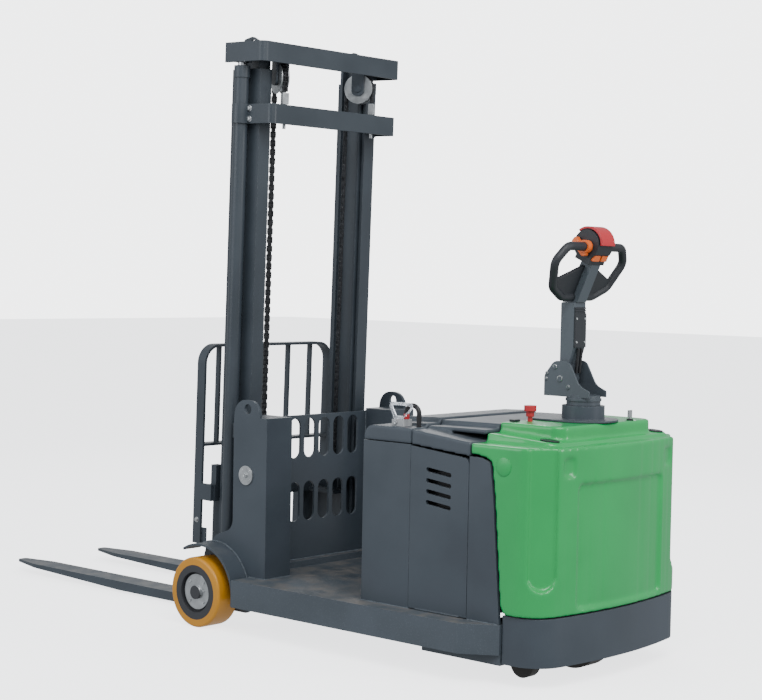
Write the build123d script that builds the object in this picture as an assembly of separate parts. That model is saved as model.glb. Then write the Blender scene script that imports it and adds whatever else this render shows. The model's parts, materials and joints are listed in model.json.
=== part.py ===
"""Counterbalanced walkie stacker: battery truck, two-stage tilting mast, forks and tiller.

Millimetres. +X points to the fork tips, +Y to the truck's left, +Z up, floor at z = 0.
Sizes are laid out from the load-wheel axle line; save() moves them so that the origin
is under the middle of the truck. Mast pieces are drawn upright and leaned back together.
"""
from build123d import *
import math
import os

os.makedirs("parts", exist_ok=True)

# ---- fits -------------------------------------------------------------------------------
RUN = 0.05            # radial clearance of a running fit
GAP = 3.0             # gap between covers

# ---- load wheels and chassis ------------------------------------------------------------
TYRE_R = 125.0
WHEEL_OUT = 490.0     # outer face of a load wheel from the centre plane
WHEEL_W = 98.0
HUB_R = 97.0
AXLE_R = 22.0
PLATE_OUT = 390.0     # outer face of a mast support plate
PLATE_T = 12.0
BEAM_OUT = 480.0
BEAM_LOW = 95.0
DECK_Z = 190.0
DECK_T = 8.0
BEAM_FRONT = -175.0
BEAM_TAPER = -1196.0
BEAM_REAR = -1308.0
DECK_REAR = -1165.0

# ---- mast supports and guard ------------------------------------------------------------
SUP_REAR = -251.0
SUP_FRONT = -84.0
SUP_IN = 266.0        # inner face of a support box
SUP_TOP = 755.0
LUG_X = -154.0
LUG_Z = 783.0
LUG_HOLE_R = 17.5
LUG_R = 32.0
GUARD_X = -118.0
GUARD_T = 8.0
SLOT_W = 57.0
SLOT_H = 145.0
SLOT_PITCH = 77.0
SLOT_ROWS = (427.0, 660.0)
FENDER_R = 172.0
FENDER_T = 8.0
FENDER_OUT = 470.0

# ---- battery housing, covers and hood ---------------------------------------------------
BOX_OUT = 410.0       # outer face of the side panels
WALL = 12.0
BOX_FRONT = -727.0
DOOR_FRONT = -933.0
DOOR_REAR = -1175.0
WALL_TOP = 722.0
COVER_TOP = 773.0
LID_REAR_DROP = 24.0
LID_HINGE = (-413.5, 725.0)
CROWN = ((372.0, 0.0), (330.0, 14.0), (262.0, 30.0))   # half width and rise of each step
HOOD_WALL = 6.0
CHANNEL = (52.0, 92.0, 304.0)     # hood corner channel: turn round the corner, width, low end
CHANNEL_DEPTH = 20.0              # below the crest of the corner
REAR_PANEL = (235.0, 238.0, 630.0)    # recess in the hood's rear: half width, low and high edge
REAR_DEPTH = 10.0
BADGE = (248.0, 302.0, 652.0, 715.0)  # small recess at each upper rear corner
BADGE_DEPTH = 7.0
STEP_DROP = 15.0      # fall of the hood's lower step towards the rear
HOOD_LOW = 222.0
HOOD_EDGE_TOP = 745.0
HOOD_REAR = -1490.0
BOW_R = 1700.0        # radius of the bowed rear
BOW_SLOPE = 0.17      # lean of the straight run between the bow and a corner
CORNER_R = 110.0
BUMPER_REAR = -1493.0
BUMPER_HALF = 400.0
BUMPER_LOW = 68.0
BUMPER_T = 50.0
BUMPER_FRONT = -1312.0

# ---- drive unit and tiller --------------------------------------------------------------
STEER_X = -1315.0
DRIVE_R = 115.0
DRIVE_W = 76.0
SEAT_Z = 300.0        # underside of the plate that carries the turntable
RING_H = 50.0         # top of the swivel ring above the hood
RING_R = 69.5
COLLAR_R = 55.5
TILLER_X = -1255.0
TILLER_Z = 937.0
CHEEK_IN = 44.0
CHEEK_T = 6.0
ARM_HALF = 32.0
HEAD_X = -1340.0
HEAD_Z = 1375.0
HEAD_R = 48.0
HEAD_HALF = 42.0
GRIP_R = 14.0
GRIP_X = -1348.0
GRIP_Z = 1368.0
CASTER_X = -1262.0
CASTER_Y = 248.0
CASTER_R = 45.0
CASTER_TRAIL = 28.0

# ---- mast, drawn upright ----------------------------------------------------------------
MAST_LEAN = 1.4       # degrees back
OUT_RAIL = (-60.0, 85.0)
OUT_WEB = 304.0
OUT_TIP = 250.0
OUT_T = 14.0
OUT_LOW = 60.0
OUT_TOP = 1990.0
IN_RAIL = (-40.0, 65.0)
IN_WEB = (262.0, 272.0)
IN_TIPS = (238.0, 288.0)
IN_T = 12.0
IN_LOW = 80.0
CAP_Z = 2050.0        # top of the inner rails, underside of the crosshead's cap
CROSS_Z = (2010.0, 2080.0)
CROSS_X = (-130.0, 66.0)
CROSS_HALF = 362.0
CROSS_T = 12.0
TIE_X = -148.0
TIE_Z = (1794.0, 1863.0)
TIE_HALF = 328.0
TUBE_X = 5.0
TUBE_Y = 334.0
TUBE_R = 25.5
ROD_R = 16.0
TUBE_LOW = 200.0
TUBE_TOP = 1998.0
LIFT = 1400.0         # travel of each stage
PULLEY_X = -62.0
PULLEY_Y = 210.0
PULLEY_Z = 1963.0
PULLEY_R = 55.0
PULLEY_W = 30.0
GROOVE_R = 45.0
CHAIN_T = 12.0
CHAIN_W = 20.0
TOE = 23.0            # degrees that a pulley's plane is turned in plan

# ---- carriage and forks -----------------------------------------------------------------
BAR_X = (95.0, 128.0)
BAR_HALF = 322.0
BAR_HIGH = (425.0, 485.0)
BAR_LOW = (62.0, 122.0)
SIDE_Y = (218.0, 234.0)
REST_HALF = 335.0
REST_X = (152.0, 192.0)
REST_T = 10.0
REST_TOP = 995.0
REST_MID = 626.0
REST_LOW = 262.0
FORK_TIP = 1388.0
FORK_Y = 209.5
FORK_W = 100.0
FORK_T = 35.0
HEEL_X = 168.0
SHANK_TOP = 505.0
FORK_LOW = 10.0       # height of the heel's underside

# ---- tilt cylinders ---------------------------------------------------------------------
ANCHOR = (-151.0, 549.0)      # pin in the mast support
KNUCKLE = (-58.0, 690.0)      # pin on the outer mast
TILT_Y = 328.0
BARREL_R = 24.0
TILT_ROD_R = 9.0
TILT_PIN_R = 10.0
KNUCKLE_R = 8.0
EYE_PLAY = 3.2        # play of the rod's eye round the knuckle pin

LEAN = Pos(0, 0, TYRE_R) * Rot(0, -MAST_LEAN, 0) * Pos(0, 0, -TYRE_R)
ORIGIN = Pos(-(FORK_TIP + BUMPER_REAR) / 2, 0, 0)

# ---- drawing helpers --------------------------------------------------------------------
PLACE = {
    "xy": lambda a, b, c: (a, b, c),
    "xz": lambda a, b, c: (a, c, b),
    "yz": lambda a, b, c: (c, a, b),
}
NORMAL = {"xy": (0, 0, 1), "xz": (0, 1, 0), "yz": (1, 0, 0)}


def corner_arc(before, corner, after, radius):
    """Start, middle and end of the arc that rounds a corner."""
    back = (before - corner).normalized()
    ahead = (after - corner).normalized()
    half = math.radians(back.get_angle(ahead)) / 2
    reach = radius / math.tan(half)
    middle = corner + (back + ahead).normalized() * (radius / math.sin(half) - radius)
    return corner + back * reach, middle, corner + ahead * reach


def plate(plane, corners, span):
    """A closed outline of (a, b) or (a, b, radius) corners, drawn out over span."""
    points = [Vector(c[0], c[1]) for c in corners]
    low, high = sorted(span)
    arcs = []
    for i, corner in enumerate(corners):
        radius = corner[2] if len(corner) > 2 else 0
        following = points[(i + 1) % len(points)]
        if radius:
            arcs.append(corner_arc(points[i - 1], points[i], following, radius))
        else:
            arcs.append((points[i], None, points[i]))
    edges = []
    for i, (start, middle, end) in enumerate(arcs):
        put = [PLACE[plane](p.X, p.Y, low) for p in (start, middle or start, end)]
        if middle:
            edges.append(ThreePointArc(*put))
        onward = arcs[(i + 1) % len(arcs)][0]
        if (onward - end).length > 0.001:
            edges.append(Line(put[2], PLACE[plane](onward.X, onward.Y, low)))
    return extrude(make_face(edges), amount=high - low, dir=NORMAL[plane])


def block(x, y, z):
    """A box between pairs of limits."""
    middle = [(a + b) / 2 for a, b in (x, y, z)]
    return Pos(*middle) * Box(*[abs(b - a) for a, b in (x, y, z)])


def rod(axis, at, span, radius):
    """A round bar along an axis; at gives its other two coordinates."""
    bar = Cylinder(radius, abs(span[1] - span[0]))
    middle = (span[0] + span[1]) / 2
    if axis == "x":
        return Pos(middle, at[0], at[1]) * Rot(0, 90, 0) * bar
    if axis == "y":
        return Pos(at[0], middle, at[1]) * Rot(90, 0, 0) * bar
    return Pos(at[0], at[1], middle) * bar


def ring(axis, at, span, outer, inner):
    return rod(axis, at, span, outer) - rod(axis, at, (span[0] - 1, span[1] + 1), inner)


def other_side(piece):
    return mirror(piece, about=Plane.XZ)


def both(piece):
    return [piece, other_side(piece)]


def joined(pieces):
    whole = pieces[0]
    for piece in pieces[1:]:
        whole = whole + piece
    return whole


def save(name, *pieces, leaned=False):
    solids = []
    for piece in pieces:
        solids.extend(piece.solids())
    group = Compound(solids)
    placed = ORIGIN * LEAN * group if leaned else ORIGIN * group
    export_step(placed, f"parts/{name}.step")


# ---- chassis ----------------------------------------------------------------------------
def base_frame():
    """Deck, side beams, cross member, drive seat and caster plates, welded together."""
    beam = plate("xy", [(BEAM_FRONT, PLATE_OUT), (BEAM_FRONT, BEAM_OUT),
                        (BEAM_TAPER, BEAM_OUT), (BEAM_REAR, PLATE_OUT + 19),
                        (BEAM_REAR, PLATE_OUT)], (BEAM_LOW, DECK_Z))
    rail = block((BEAM_REAR, DECK_REAR), (332, PLATE_OUT), (BEAM_LOW, DECK_Z))
    skid = block((BEAM_REAR, -990), (340, 404), (62, BEAM_LOW))
    shelf = block((CASTER_X - 55, CASTER_X + 55), (CASTER_Y - 45, 332), (170, 182))
    shelf -= rod("z", (CASTER_X, CASTER_Y), (160, 190), 8 + RUN)
    post = block((DECK_REAR - 20, DECK_REAR), (372, PLATE_OUT), (DECK_Z, SEAT_Z))
    sides = []
    for piece in (beam, rail, skid, shelf, post):
        sides.extend(both(piece))
    deck = block((DECK_REAR, BEAM_FRONT), (-PLATE_OUT, PLATE_OUT), (DECK_Z - DECK_T, DECK_Z))
    inside = PLATE_OUT - PLATE_T
    nose = block((BEAM_FRONT, -85), (-inside, inside), (DECK_Z - DECK_T, DECK_Z))
    cross = block((-135, -85), (-inside, inside), (62, DECK_Z - DECK_T))
    ledge = block((-150, GUARD_X), (-SUP_IN, SUP_IN), (DECK_Z, DECK_Z + 24))
    rear = STEER_X - 125
    seat = plate("xy", [(DECK_REAR, -PLATE_OUT), (rear, -PLATE_OUT, CORNER_R),
                        (rear, PLATE_OUT, CORNER_R), (DECK_REAR, PLATE_OUT)],
                 (SEAT_Z, SEAT_Z + 15))
    seat -= rod("z", (STEER_X, 0), (SEAT_Z - 5, SEAT_Z + 20), 83)
    return joined([deck, nose, cross, ledge, seat] + sides)


def mast_support():
    """Left support: outer plate with its lifting eye, box plates and wheel fender."""
    front_low = 75
    outline = [(SUP_REAR, DECK_Z), (SUP_REAR, SUP_TOP), (LUG_X - 60, SUP_TOP),
               (LUG_X - 60, LUG_Z + LUG_R, 55), (LUG_X + 60, LUG_Z + LUG_R, 55),
               (SUP_FRONT, SUP_TOP - 8, 20), (SUP_FRONT, 352, 45), (0, 322, 30),
               (front_low - 20, 268, 15), (front_low, 200, 30), (front_low, 60, 40),
               (BEAM_FRONT, 60, 20), (BEAM_FRONT, DECK_Z)]
    inside = PLATE_OUT - PLATE_T
    outer = plate("xz", outline, (inside, PLATE_OUT))
    outer -= rod("y", (LUG_X, LUG_Z), (inside - 1, PLATE_OUT + 1), LUG_HOLE_R)
    back = block((SUP_REAR, SUP_REAR + PLATE_T), (SUP_IN, inside), (DECK_Z, SUP_TOP))
    inner = block((SUP_REAR, GUARD_X), (SUP_IN, SUP_IN + PLATE_T), (DECK_Z, SUP_TOP))
    cap = block((SUP_REAR, GUARD_X), (SUP_IN, inside), (SUP_TOP - PLATE_T, SUP_TOP))
    boss = rod("y", (0, TYRE_R), (352, inside), 45)
    whole = joined([outer, back, inner, cap, boss, fender()])
    whole -= rod("y", (0, TYRE_R), (340, PLATE_OUT + 1), AXLE_R + RUN)
    return whole - rod("y", ANCHOR, (SUP_IN - 1, PLATE_OUT + 1), TILT_PIN_R + RUN)


def fender():
    """Curved guard over the load wheel, from its front lip down to the beam."""
    band = ring("y", (0, TYRE_R), (PLATE_OUT, FENDER_OUT), FENDER_R, FENDER_R - FENDER_T)
    far = 2 * FENDER_R
    sector = plate("xz", [(0, TYRE_R), (far * math.cos(math.radians(59)),
                                        TYRE_R + far * math.sin(math.radians(59))),
                          (-far, TYRE_R + far), (-far, TYRE_R - 30), (-FENDER_R, TYRE_R - 30)],
                   (PLATE_OUT - 1, FENDER_OUT + 1))
    return band & sector


def guard_plate():
    """Slotted plate between the supports."""
    sheet = block((GUARD_X, GUARD_X + GUARD_T), (-SUP_IN, SUP_IN), (DECK_Z, SUP_TOP - 10))
    reach = (SLOT_H - SLOT_W) / 2
    for z in SLOT_ROWS:
        for i in range(6):
            y = (i - 2.5) * SLOT_PITCH
            span = (GUARD_X - 1, GUARD_X + GUARD_T + 1)
            slot = block(span, (y - SLOT_W / 2, y + SLOT_W / 2), (z - reach, z + reach))
            for end in (z - reach, z + reach):
                slot += rod("x", (y, end), span, SLOT_W / 2)
            sheet -= slot
    return sheet


def axles_and_pins():
    """Wheel axles that the mast also swings on, and the tilt cylinders' pins with discs."""
    axle = rod("y", (0, TYRE_R), (312, 470), AXLE_R)
    pin = rod("y", ANCHOR, (SUP_IN + 4, PLATE_OUT), TILT_PIN_R)
    pin += rod("y", ANCHOR, (PLATE_OUT, PLATE_OUT + 5), 34)
    pin += rod("y", ANCHOR, (PLATE_OUT + 5, PLATE_OUT + 11), 9)
    return both(axle) + both(pin)


def skirt_outline(front, rear, half, corner):
    """Plan of a cover whose rear is bowed between two rounded corners."""
    apex = rear - BOW_R * (math.hypot(1, BOW_SLOPE) - 1)
    edge = apex + BOW_SLOPE * half
    return [(front, -half), (edge, -half, corner), (apex, 0, BOW_R), (edge, half, corner),
            (front, half)]


def rear_bumper():
    """Counterweight round the drive unit."""
    outer = plate("xy", skirt_outline(BUMPER_FRONT, BUMPER_REAR, BUMPER_HALF, CORNER_R),
                  (BUMPER_LOW, HOOD_LOW - 2))
    hollow = skirt_outline(BUMPER_FRONT + 5, BUMPER_REAR + BUMPER_T,
                           BUMPER_HALF - BUMPER_T, CORNER_R - BUMPER_T)
    return outer - plate("xy", hollow, (BUMPER_LOW - 1, HOOD_LOW))


def battery_housing():
    """Front wall, fixed side panels and bulkhead of the battery bay."""
    inner = BOX_OUT - WALL
    front = block((BOX_FRONT - WALL, BOX_FRONT), (-BOX_OUT, BOX_OUT), (DECK_Z, WALL_TOP))
    cheek = block((DOOR_FRONT + 1, BOX_FRONT), (inner, BOX_OUT), (DECK_Z, WALL_TOP))
    strip = plate("xz", [(DOOR_REAR - 1, DECK_Z), (DOOR_REAR - 1, 704), (-1226, 702, 20),
                         (-1258, 690, 20), (-1273, 578), (-1300, 250), (-1304, DECK_Z)],
                  (inner, BOX_OUT))
    bulkhead = block((DOOR_REAR - 13, DOOR_REAR - 5), (-inner, inner), (SEAT_Z + 15, 690))
    return joined([front, bulkhead] + both(cheek) + both(strip))


def side_door():
    """Left lift-off door with four louvre slots."""
    door = plate("xz", [(DOOR_FRONT, DECK_Z + 3), (DOOR_FRONT, WALL_TOP - GAP),
                        (DOOR_REAR + 1, WALL_TOP - GAP - LID_REAR_DROP, 22),
                        (DOOR_REAR + 1, DECK_Z + 3)], (BOX_OUT - WALL, BOX_OUT))
    for row in range(4):
        z = 639 - 35 * row
        door -= plate("xz", [(-1000, z + 2, 6), (-1000, z + 16, 6), (-1103, z + 4, 6),
                             (-1103, z - 10, 6)], (BOX_OUT - WALL - 1, BOX_OUT + 1))
    return door + rod("x", (BOX_OUT, DECK_Z + 3), (DOOR_REAR + 30, DOOR_FRONT - 30), 2.6)


def front_top_cover():
    span = (-BOX_OUT, BOX_OUT)
    rear = DOOR_FRONT + 1
    outline = [(BOX_FRONT, WALL_TOP + 2), (BOX_FRONT, COVER_TOP, 38), (rear, COVER_TOP),
               (rear, WALL_TOP + 2)]
    cover = plate("xz", outline, span)
    inner = [(BOX_FRONT - 5, WALL_TOP), (BOX_FRONT - 5, COVER_TOP - 5, 34),
             (rear + 5, COVER_TOP - 5), (rear + 5, WALL_TOP)]
    cover -= plate("xz", inner, (-BOX_OUT + 5, BOX_OUT - 5))
    return cover + crown_steps(BOX_FRONT - 60, rear, COVER_TOP - 1)


def crown_steps(front, rear, top, drop=0.0):
    """The raised steps that run along the middle of the covers."""
    steps = []
    for half, rise in CROWN[1:]:
        outline = [(front, top - 2), (front, top + rise - 6, 4), (rear, top + rise - drop, 4),
                   (rear, top - 2 - drop)]
        steps.append(plate("xz", outline, (-half, half)))
    return joined(steps)


def battery_lid():
    front = DOOR_FRONT - 2
    rear = DOOR_REAR - 1
    low = WALL_TOP + 1
    drop = LID_REAR_DROP
    outline = [(front, low), (front, COVER_TOP - 2), (rear, COVER_TOP - 2 - drop),
               (rear, low - drop + 4)]
    lid = plate("xz", outline, (-BOX_OUT, BOX_OUT))
    inner = [(front - 5, low - 1), (front - 5, COVER_TOP - 9), (rear + 5, COVER_TOP - 9 - drop),
             (rear + 5, low - drop)]
    lid -= plate("xz", inner, (-BOX_OUT + 6, BOX_OUT - 6))
    lid += crown_steps(front, rear, COVER_TOP - 2, drop * 0.1)
    for x in (front - 35, rear + 75):
        span = (x - 40, x)
        lid += block(span, (LID_HINGE[0] - 3, -BOX_OUT - 0.5), (LID_HINGE[1], LID_HINGE[1] + 10))
        lid += block(span, (-BOX_OUT - 1, -BOX_OUT + 3), (LID_HINGE[1] + 1, LID_HINGE[1] + 10))
        lid += rod("x", LID_HINGE, span, 3)
    return lid


def battery_pack():
    case = block((BOX_FRONT - 25, DOOR_REAR + 15), (-375, 375), (DECK_Z, 640))
    for x in (BOX_FRONT - 90, DOOR_REAR + 90):
        case += rod("z", (x, 0), (640, 662), 14)
    return case


def hood_block(inset, front, low):
    """Moulded hood without its front edge: a rounded skirt under a stepped crown."""
    half = BOX_OUT - inset
    rear = HOOD_REAR + inset
    body = plate("xy", skirt_outline(front, rear, half, CORNER_R - inset),
                 (low, HOOD_EDGE_TOP - inset))
    top = HOOD_EDGE_TOP - inset
    for (width, rise), end, drop in zip(CROWN[1:], (45, 70), (STEP_DROP, 0)):
        width -= inset
        step = plate("xy", [(front, -width), (rear + end, -width, 50),
                            (rear + end, width, 50), (front, width)], (top - 1, top + 90))
        body += step & plate("xz", [(front, top - 1), (front, top + rise * 2),
                                    (rear + end, top + rise * 2 - drop), (rear + end, top - 1)],
                             (-width, width))
    return body


def corner_channel(grow):
    """Upright round-ended bar that cuts, or when grown backs, the channel down a hood corner."""
    turn, width, low = CHANNEL
    half = width / 2 + grow
    face = CORNER_R - CHANNEL_DEPTH - grow
    bar = block((face, CORNER_R + 40), (-half, half), (low + width / 2, 752 + grow))
    bar += rod("x", (0, low + width / 2), (face, CORNER_R + 40), half)
    centre_y = BOX_OUT - CORNER_R
    centre_x = HOOD_REAR + BOW_SLOPE * centre_y
    centre_x += math.hypot(1, BOW_SLOPE) * CORNER_R - BOW_R * (math.hypot(1, BOW_SLOPE) - 1)
    return Pos(centre_x, centre_y, 0) * Rot(0, 0, 90 + turn) * bar


def rear_window(span, heights, grow, depth):
    """Part of the hood's rear skin within a rounded window, down to the given depth."""
    (near, far), (low, high) = span, heights
    window = plate("yz", [(near - grow, low - grow, 20), (far + grow, low - grow, 20),
                          (far + grow, high + grow, 20), (near - grow, high + grow, 20)],
                   (HOOD_REAR - 40, HOOD_REAR + 90))
    inset = depth + grow
    return window - plate("xy", skirt_outline(DOOR_REAR, HOOD_REAR + inset, BOX_OUT - inset,
                                              CORNER_R - inset), (low - 50, high + 50))


def rear_panel(grow):
    half, low, high = REAR_PANEL
    return rear_window((-half, half), (low, high), grow, REAR_DEPTH)


def badge_recess(grow):
    near, far, low, high = BADGE
    return rear_window((near, far), (low, high), grow, BADGE_DEPTH)


def rear_hood():
    outer = hood_block(0, DOOR_REAR - 2, HOOD_LOW)
    edge = plate("xz", [(DOOR_REAR - 2, 860), (DOOR_REAR - 2, 710), (-1230, 706, 20),
                        (-1262, 694, 22), (-1277, 578), (-1304, 250, 10), (-1318, HOOD_LOW, 18),
                        (-1600, HOOD_LOW), (-1600, 860)], (-BOX_OUT - 1, BOX_OUT + 1))
    outer = outer & edge
    shell = outer - hood_block(HOOD_WALL, DOOR_REAR + 20, HOOD_LOW - 2)
    cuts = both(corner_channel(0)) + both(badge_recess(0)) + [rear_panel(0)]
    backs = both(corner_channel(HOOD_WALL)) + both(badge_recess(HOOD_WALL))
    for back in backs + [rear_panel(HOOD_WALL)]:
        shell += outer & back
    for cut in cuts:
        shell -= cut
    shell -= rod("z", (STEER_X, 0), (700, 860), COLLAR_R - 15)
    shell -= rod("z", (ESTOP[0], ESTOP[1]), (700, 860), 8.5)
    return shell - rod("z", (KEY_AT[0], KEY_AT[1]), (700, 860), 11)


# ---- fittings on the hood ---------------------------------------------------------------
HOOD_TOP = HOOD_EDGE_TOP + CROWN[-1][1] * 2
HOOD_STEP_TOP = HOOD_EDGE_TOP + CROWN[1][1] * 2
CAP_X = -1397.0
ESTOP = (-1219.0, 158.0)
KEY_AT = (-1396.0, -150.0)


def hood_fittings():
    """Oval caps near the rear corners, hood latch and the key barrel."""
    pieces = []
    for side in (-1, 1):
        fall = STEP_DROP / (DOOR_REAR - HOOD_REAR - 45)
        spot = Pos(CAP_X, side * 291, HOOD_STEP_TOP + 0.1 + fall * (CAP_X - DOOR_REAR))
        cap = spot * Rot(0, -math.degrees(math.atan(fall)), 0) * extrude(Ellipse(34, 22), amount=4)
        pieces.append(cap)
    pieces.append(block((-1215, -1195), (205, 235), (HOOD_TOP, HOOD_TOP + 7)))
    pieces.append(ring("z", KEY_AT, (HOOD_TOP - 25, HOOD_TOP + 4), 10.5, 3 + RUN))
    return pieces


def key():
    blade = rod("z", KEY_AT, (HOOD_TOP - 20, HOOD_TOP + 8), 3)
    bow = block((KEY_AT[0] - 2, KEY_AT[0] + 2), (KEY_AT[1] - 11, KEY_AT[1] + 11),
                (HOOD_TOP + 8, HOOD_TOP + 32))
    return blade + bow


def estop_button():
    stem = rod("z", ESTOP, (HOOD_TOP - 20, HOOD_TOP + 35), 8)
    stem += rod("z", ESTOP, (HOOD_TOP + 14, HOOD_TOP + 32), 13)
    return stem + rod("z", ESTOP, (HOOD_TOP + 32, HOOD_TOP + 50), 20)


def tiller_base_plate():
    """Flat foot under the tiller with the fixed ring of its swivel."""
    half = 112
    foot = plate("xy", [(DOOR_REAR - 6, -half - 6), (STEER_X - half, -half, half - 1),
                        (STEER_X - half, half, half - 1), (DOOR_REAR - 6, half + 6)],
                 (HOOD_TOP, HOOD_TOP + 6))
    foot += rod("z", (STEER_X, 0), (HOOD_TOP + 6, HOOD_TOP + RING_H), RING_R)
    return foot - rod("z", (STEER_X, 0), (HOOD_TOP - 1, HOOD_TOP + 60), 26)


# ---- battery connector ------------------------------------------------------------------
PLUG_X = (-872.0, -822.0)
PLUG_Y = (336.0, 380.0)


def battery_connector():
    body = block(PLUG_X, PLUG_Y, (COVER_TOP, COVER_TOP + 22))
    return body + rod("y", (PLUG_X[1] - 18, COVER_TOP + 11), (PLUG_Y[1], PLUG_Y[1] + 4), 6)


def connector_handle():
    """Clear pull handle with a finger window."""
    low = COVER_TOP + 22
    frame = plate("xz", [(PLUG_X[1] - 6, low), (PLUG_X[1] + 22, low + 56, 12),
                         (PLUG_X[0] - 50, low + 56, 12), (PLUG_X[0] + 10, low)],
                  (PLUG_Y[1] - 10, PLUG_Y[1] - 4))
    window = plate("xz", [(PLUG_X[1] - 14, low + 12, 4), (PLUG_X[1] + 8, low + 46, 6),
                          (PLUG_X[0] - 34, low + 46, 6), (PLUG_X[0] + 4, low + 12, 4)],
                   (PLUG_Y[1] - 11, PLUG_Y[1] - 3))
    return frame - window


def battery_cable():
    """Cable from the plug, over in a bow and down into the front cover."""
    y = PLUG_Y[0] + 12
    start = PLUG_X[0] + 14
    reach = 54.0
    top = COVER_TOP + 22 + 46
    line = FilletPolyline((start, y, COVER_TOP + 22), (start, y, top),
                          (start - reach, y, top), (start - reach, y, COVER_TOP),
                          radius=reach / 2 - 0.5)
    section = Plane(origin=line @ 0, z_dir=line % 0) * Circle(8)
    print("battery cable bend radius", reach / 2 - 0.5)
    return sweep(section, path=line)


# ---- power unit -------------------------------------------------------------------------
def power_unit():
    """Pump motor, oil tank and motor controller beside the drive unit."""
    tank = block((-1300, -1200), (-350, -170), (SEAT_Z + 15, 560))
    pump = rod("z", (-1250, 260), (SEAT_Z + 15, 520), 55)
    controller = block((-1250, -1205), (96, 196), (SEAT_Z + 15, 500))
    return [tank, pump, controller]


# ---- drive unit, steering and casters ---------------------------------------------------
def drive_gearbox():
    """Turntable flange and the leg that holds the drive wheel."""
    flange = rod("z", (STEER_X, 0), (SEAT_Z + 15.3, SEAT_Z + 26), 104)
    hub = rod("z", (STEER_X, 0), (SEAT_Z - 40, SEAT_Z + 20), 82)
    leg = block((STEER_X - 40, STEER_X + 40), (46, 72), (62, SEAT_Z - 30))
    whole = joined([flange, hub, leg])
    return whole - rod("y", (STEER_X, DRIVE_R), (40, 78), 16 + RUN)


def drive_wheel():
    half = DRIVE_W / 2
    wheel = rod("y", (STEER_X, DRIVE_R), (-half, half), DRIVE_R)
    wheel -= rod("y", (STEER_X, DRIVE_R), (-half - 1, -half + 12), 60)
    return wheel + rod("y", (STEER_X, DRIVE_R), (half, 70), 16)


def drive_motor():
    motor = rod("z", (STEER_X, 0), (SEAT_Z + 26, 540), 74)
    return motor + rod("z", (STEER_X, 0), (540, HOOD_TOP + RING_H + 0.5), 22)


def steering_yoke():
    """Collar on the swivel and the two cheeks that hold the tiller arm."""
    low = HOOD_TOP + RING_H + 0.5
    floor = TILLER_Z - 55
    collar = rod("z", (STEER_X, 0), (low, floor), COLLAR_R)
    collar += rod("z", (STEER_X, 0), (floor - 12, floor - 4), COLLAR_R + 3)
    collar += rod("z", (STEER_X, 0), (floor, floor + 6), COLLAR_R - 2)
    cheek = plate("xz", [(TILLER_X + 63, floor), (TILLER_X + 63, TILLER_Z + 12, 30),
                         (TILLER_X + 25, TILLER_Z + 60, 32), (TILLER_X - 34, TILLER_Z + 60, 28),
                         (TILLER_X - 76, TILLER_Z - 18, 50), (STEER_X - COLLAR_R, floor + 20, 6),
                         (STEER_X - COLLAR_R, floor)], (CHEEK_IN, CHEEK_IN + CHEEK_T))
    floor_plate = block((STEER_X - 30, TILLER_X + 63), (-CHEEK_IN, CHEEK_IN), (floor, floor + 6))
    pin = rod("y", (TILLER_X, TILLER_Z), (-CHEEK_IN, CHEEK_IN), 8)
    whole = joined([collar, floor_plate, pin] + both(cheek))
    for dx, dz, radius in ((0, 0, 8), (20, 38, 6), (-34, -26, 5), (52, 16, 4), (54, -2, 4)):
        spot = (TILLER_X + dx, TILLER_Z + dz)
        whole += joined(both(rod("y", spot, (CHEEK_IN + CHEEK_T, CHEEK_IN + CHEEK_T + 3), radius)))
    return whole


def caster_fork():
    x = CASTER_X - CASTER_TRAIL
    head = plate("xy", [(CASTER_X + 32, CASTER_Y - 30, 20), (x - 14, CASTER_Y - 30, 14),
                        (x - 14, CASTER_Y + 30, 14), (CASTER_X + 32, CASTER_Y + 30, 20)],
                 (156, 167))
    stem = rod("z", (CASTER_X, CASTER_Y), (167, 195), 8)
    whole = head + stem
    for side in (-1, 1):
        face = CASTER_Y + side * 23
        leg = plate("xz", [(x - 14, CASTER_R - 12, 12), (x + 14, CASTER_R - 12, 12),
                           (CASTER_X + 12, 157), (x - 12, 157)], (face, face + side * 6))
        whole += leg
    whole += rod("y", (x, CASTER_R), (CASTER_Y - 29, CASTER_Y + 29), 6)
    return whole


def caster_wheel():
    x = CASTER_X - CASTER_TRAIL
    wheel = rod("y", (x, CASTER_R), (CASTER_Y - 20, CASTER_Y + 20), CASTER_R)
    return wheel - rod("y", (x, CASTER_R), (CASTER_Y - 21, CASTER_Y + 21), 6 + RUN)


# ---- tiller arm -------------------------------------------------------------------------
ARM_X = (-1298.0, -1240.0)
NECK_Z = 1188.0
RISE = math.radians(24)       # lean of the upper arm
NECK_TOP = 132.0              # where the upper arm meets the head
BUTTON = (158.0, 21.0, 16.0)  # place along the arm, from the middle, and half width


def up_arm(along, out):
    """Point of the X-Z plane, along the leaning upper arm and out towards the forks."""
    x = ARM_X[0] - along * math.sin(RISE) + out * math.cos(RISE)
    return x, NECK_Z + along * math.cos(RISE) + out * math.sin(RISE)


def tiller_lower_arm():
    arm = plate("xz", [(ARM_X[1], 1000), (ARM_X[1], NECK_Z, 6), (ARM_X[0] + 6, NECK_Z),
                       (ARM_X[0] + 6, 1040), (TILLER_X - 20, 985), (TILLER_X - 14, TILLER_Z),
                       (TILLER_X + 14, TILLER_Z)], (-ARM_HALF, ARM_HALF))
    arm += rod("y", (TILLER_X, TILLER_Z), (-ARM_HALF, ARM_HALF), 20)
    return arm - rod("y", (TILLER_X, TILLER_Z), (-ARM_HALF - 1, ARM_HALF + 1), 8 + RUN)


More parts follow.
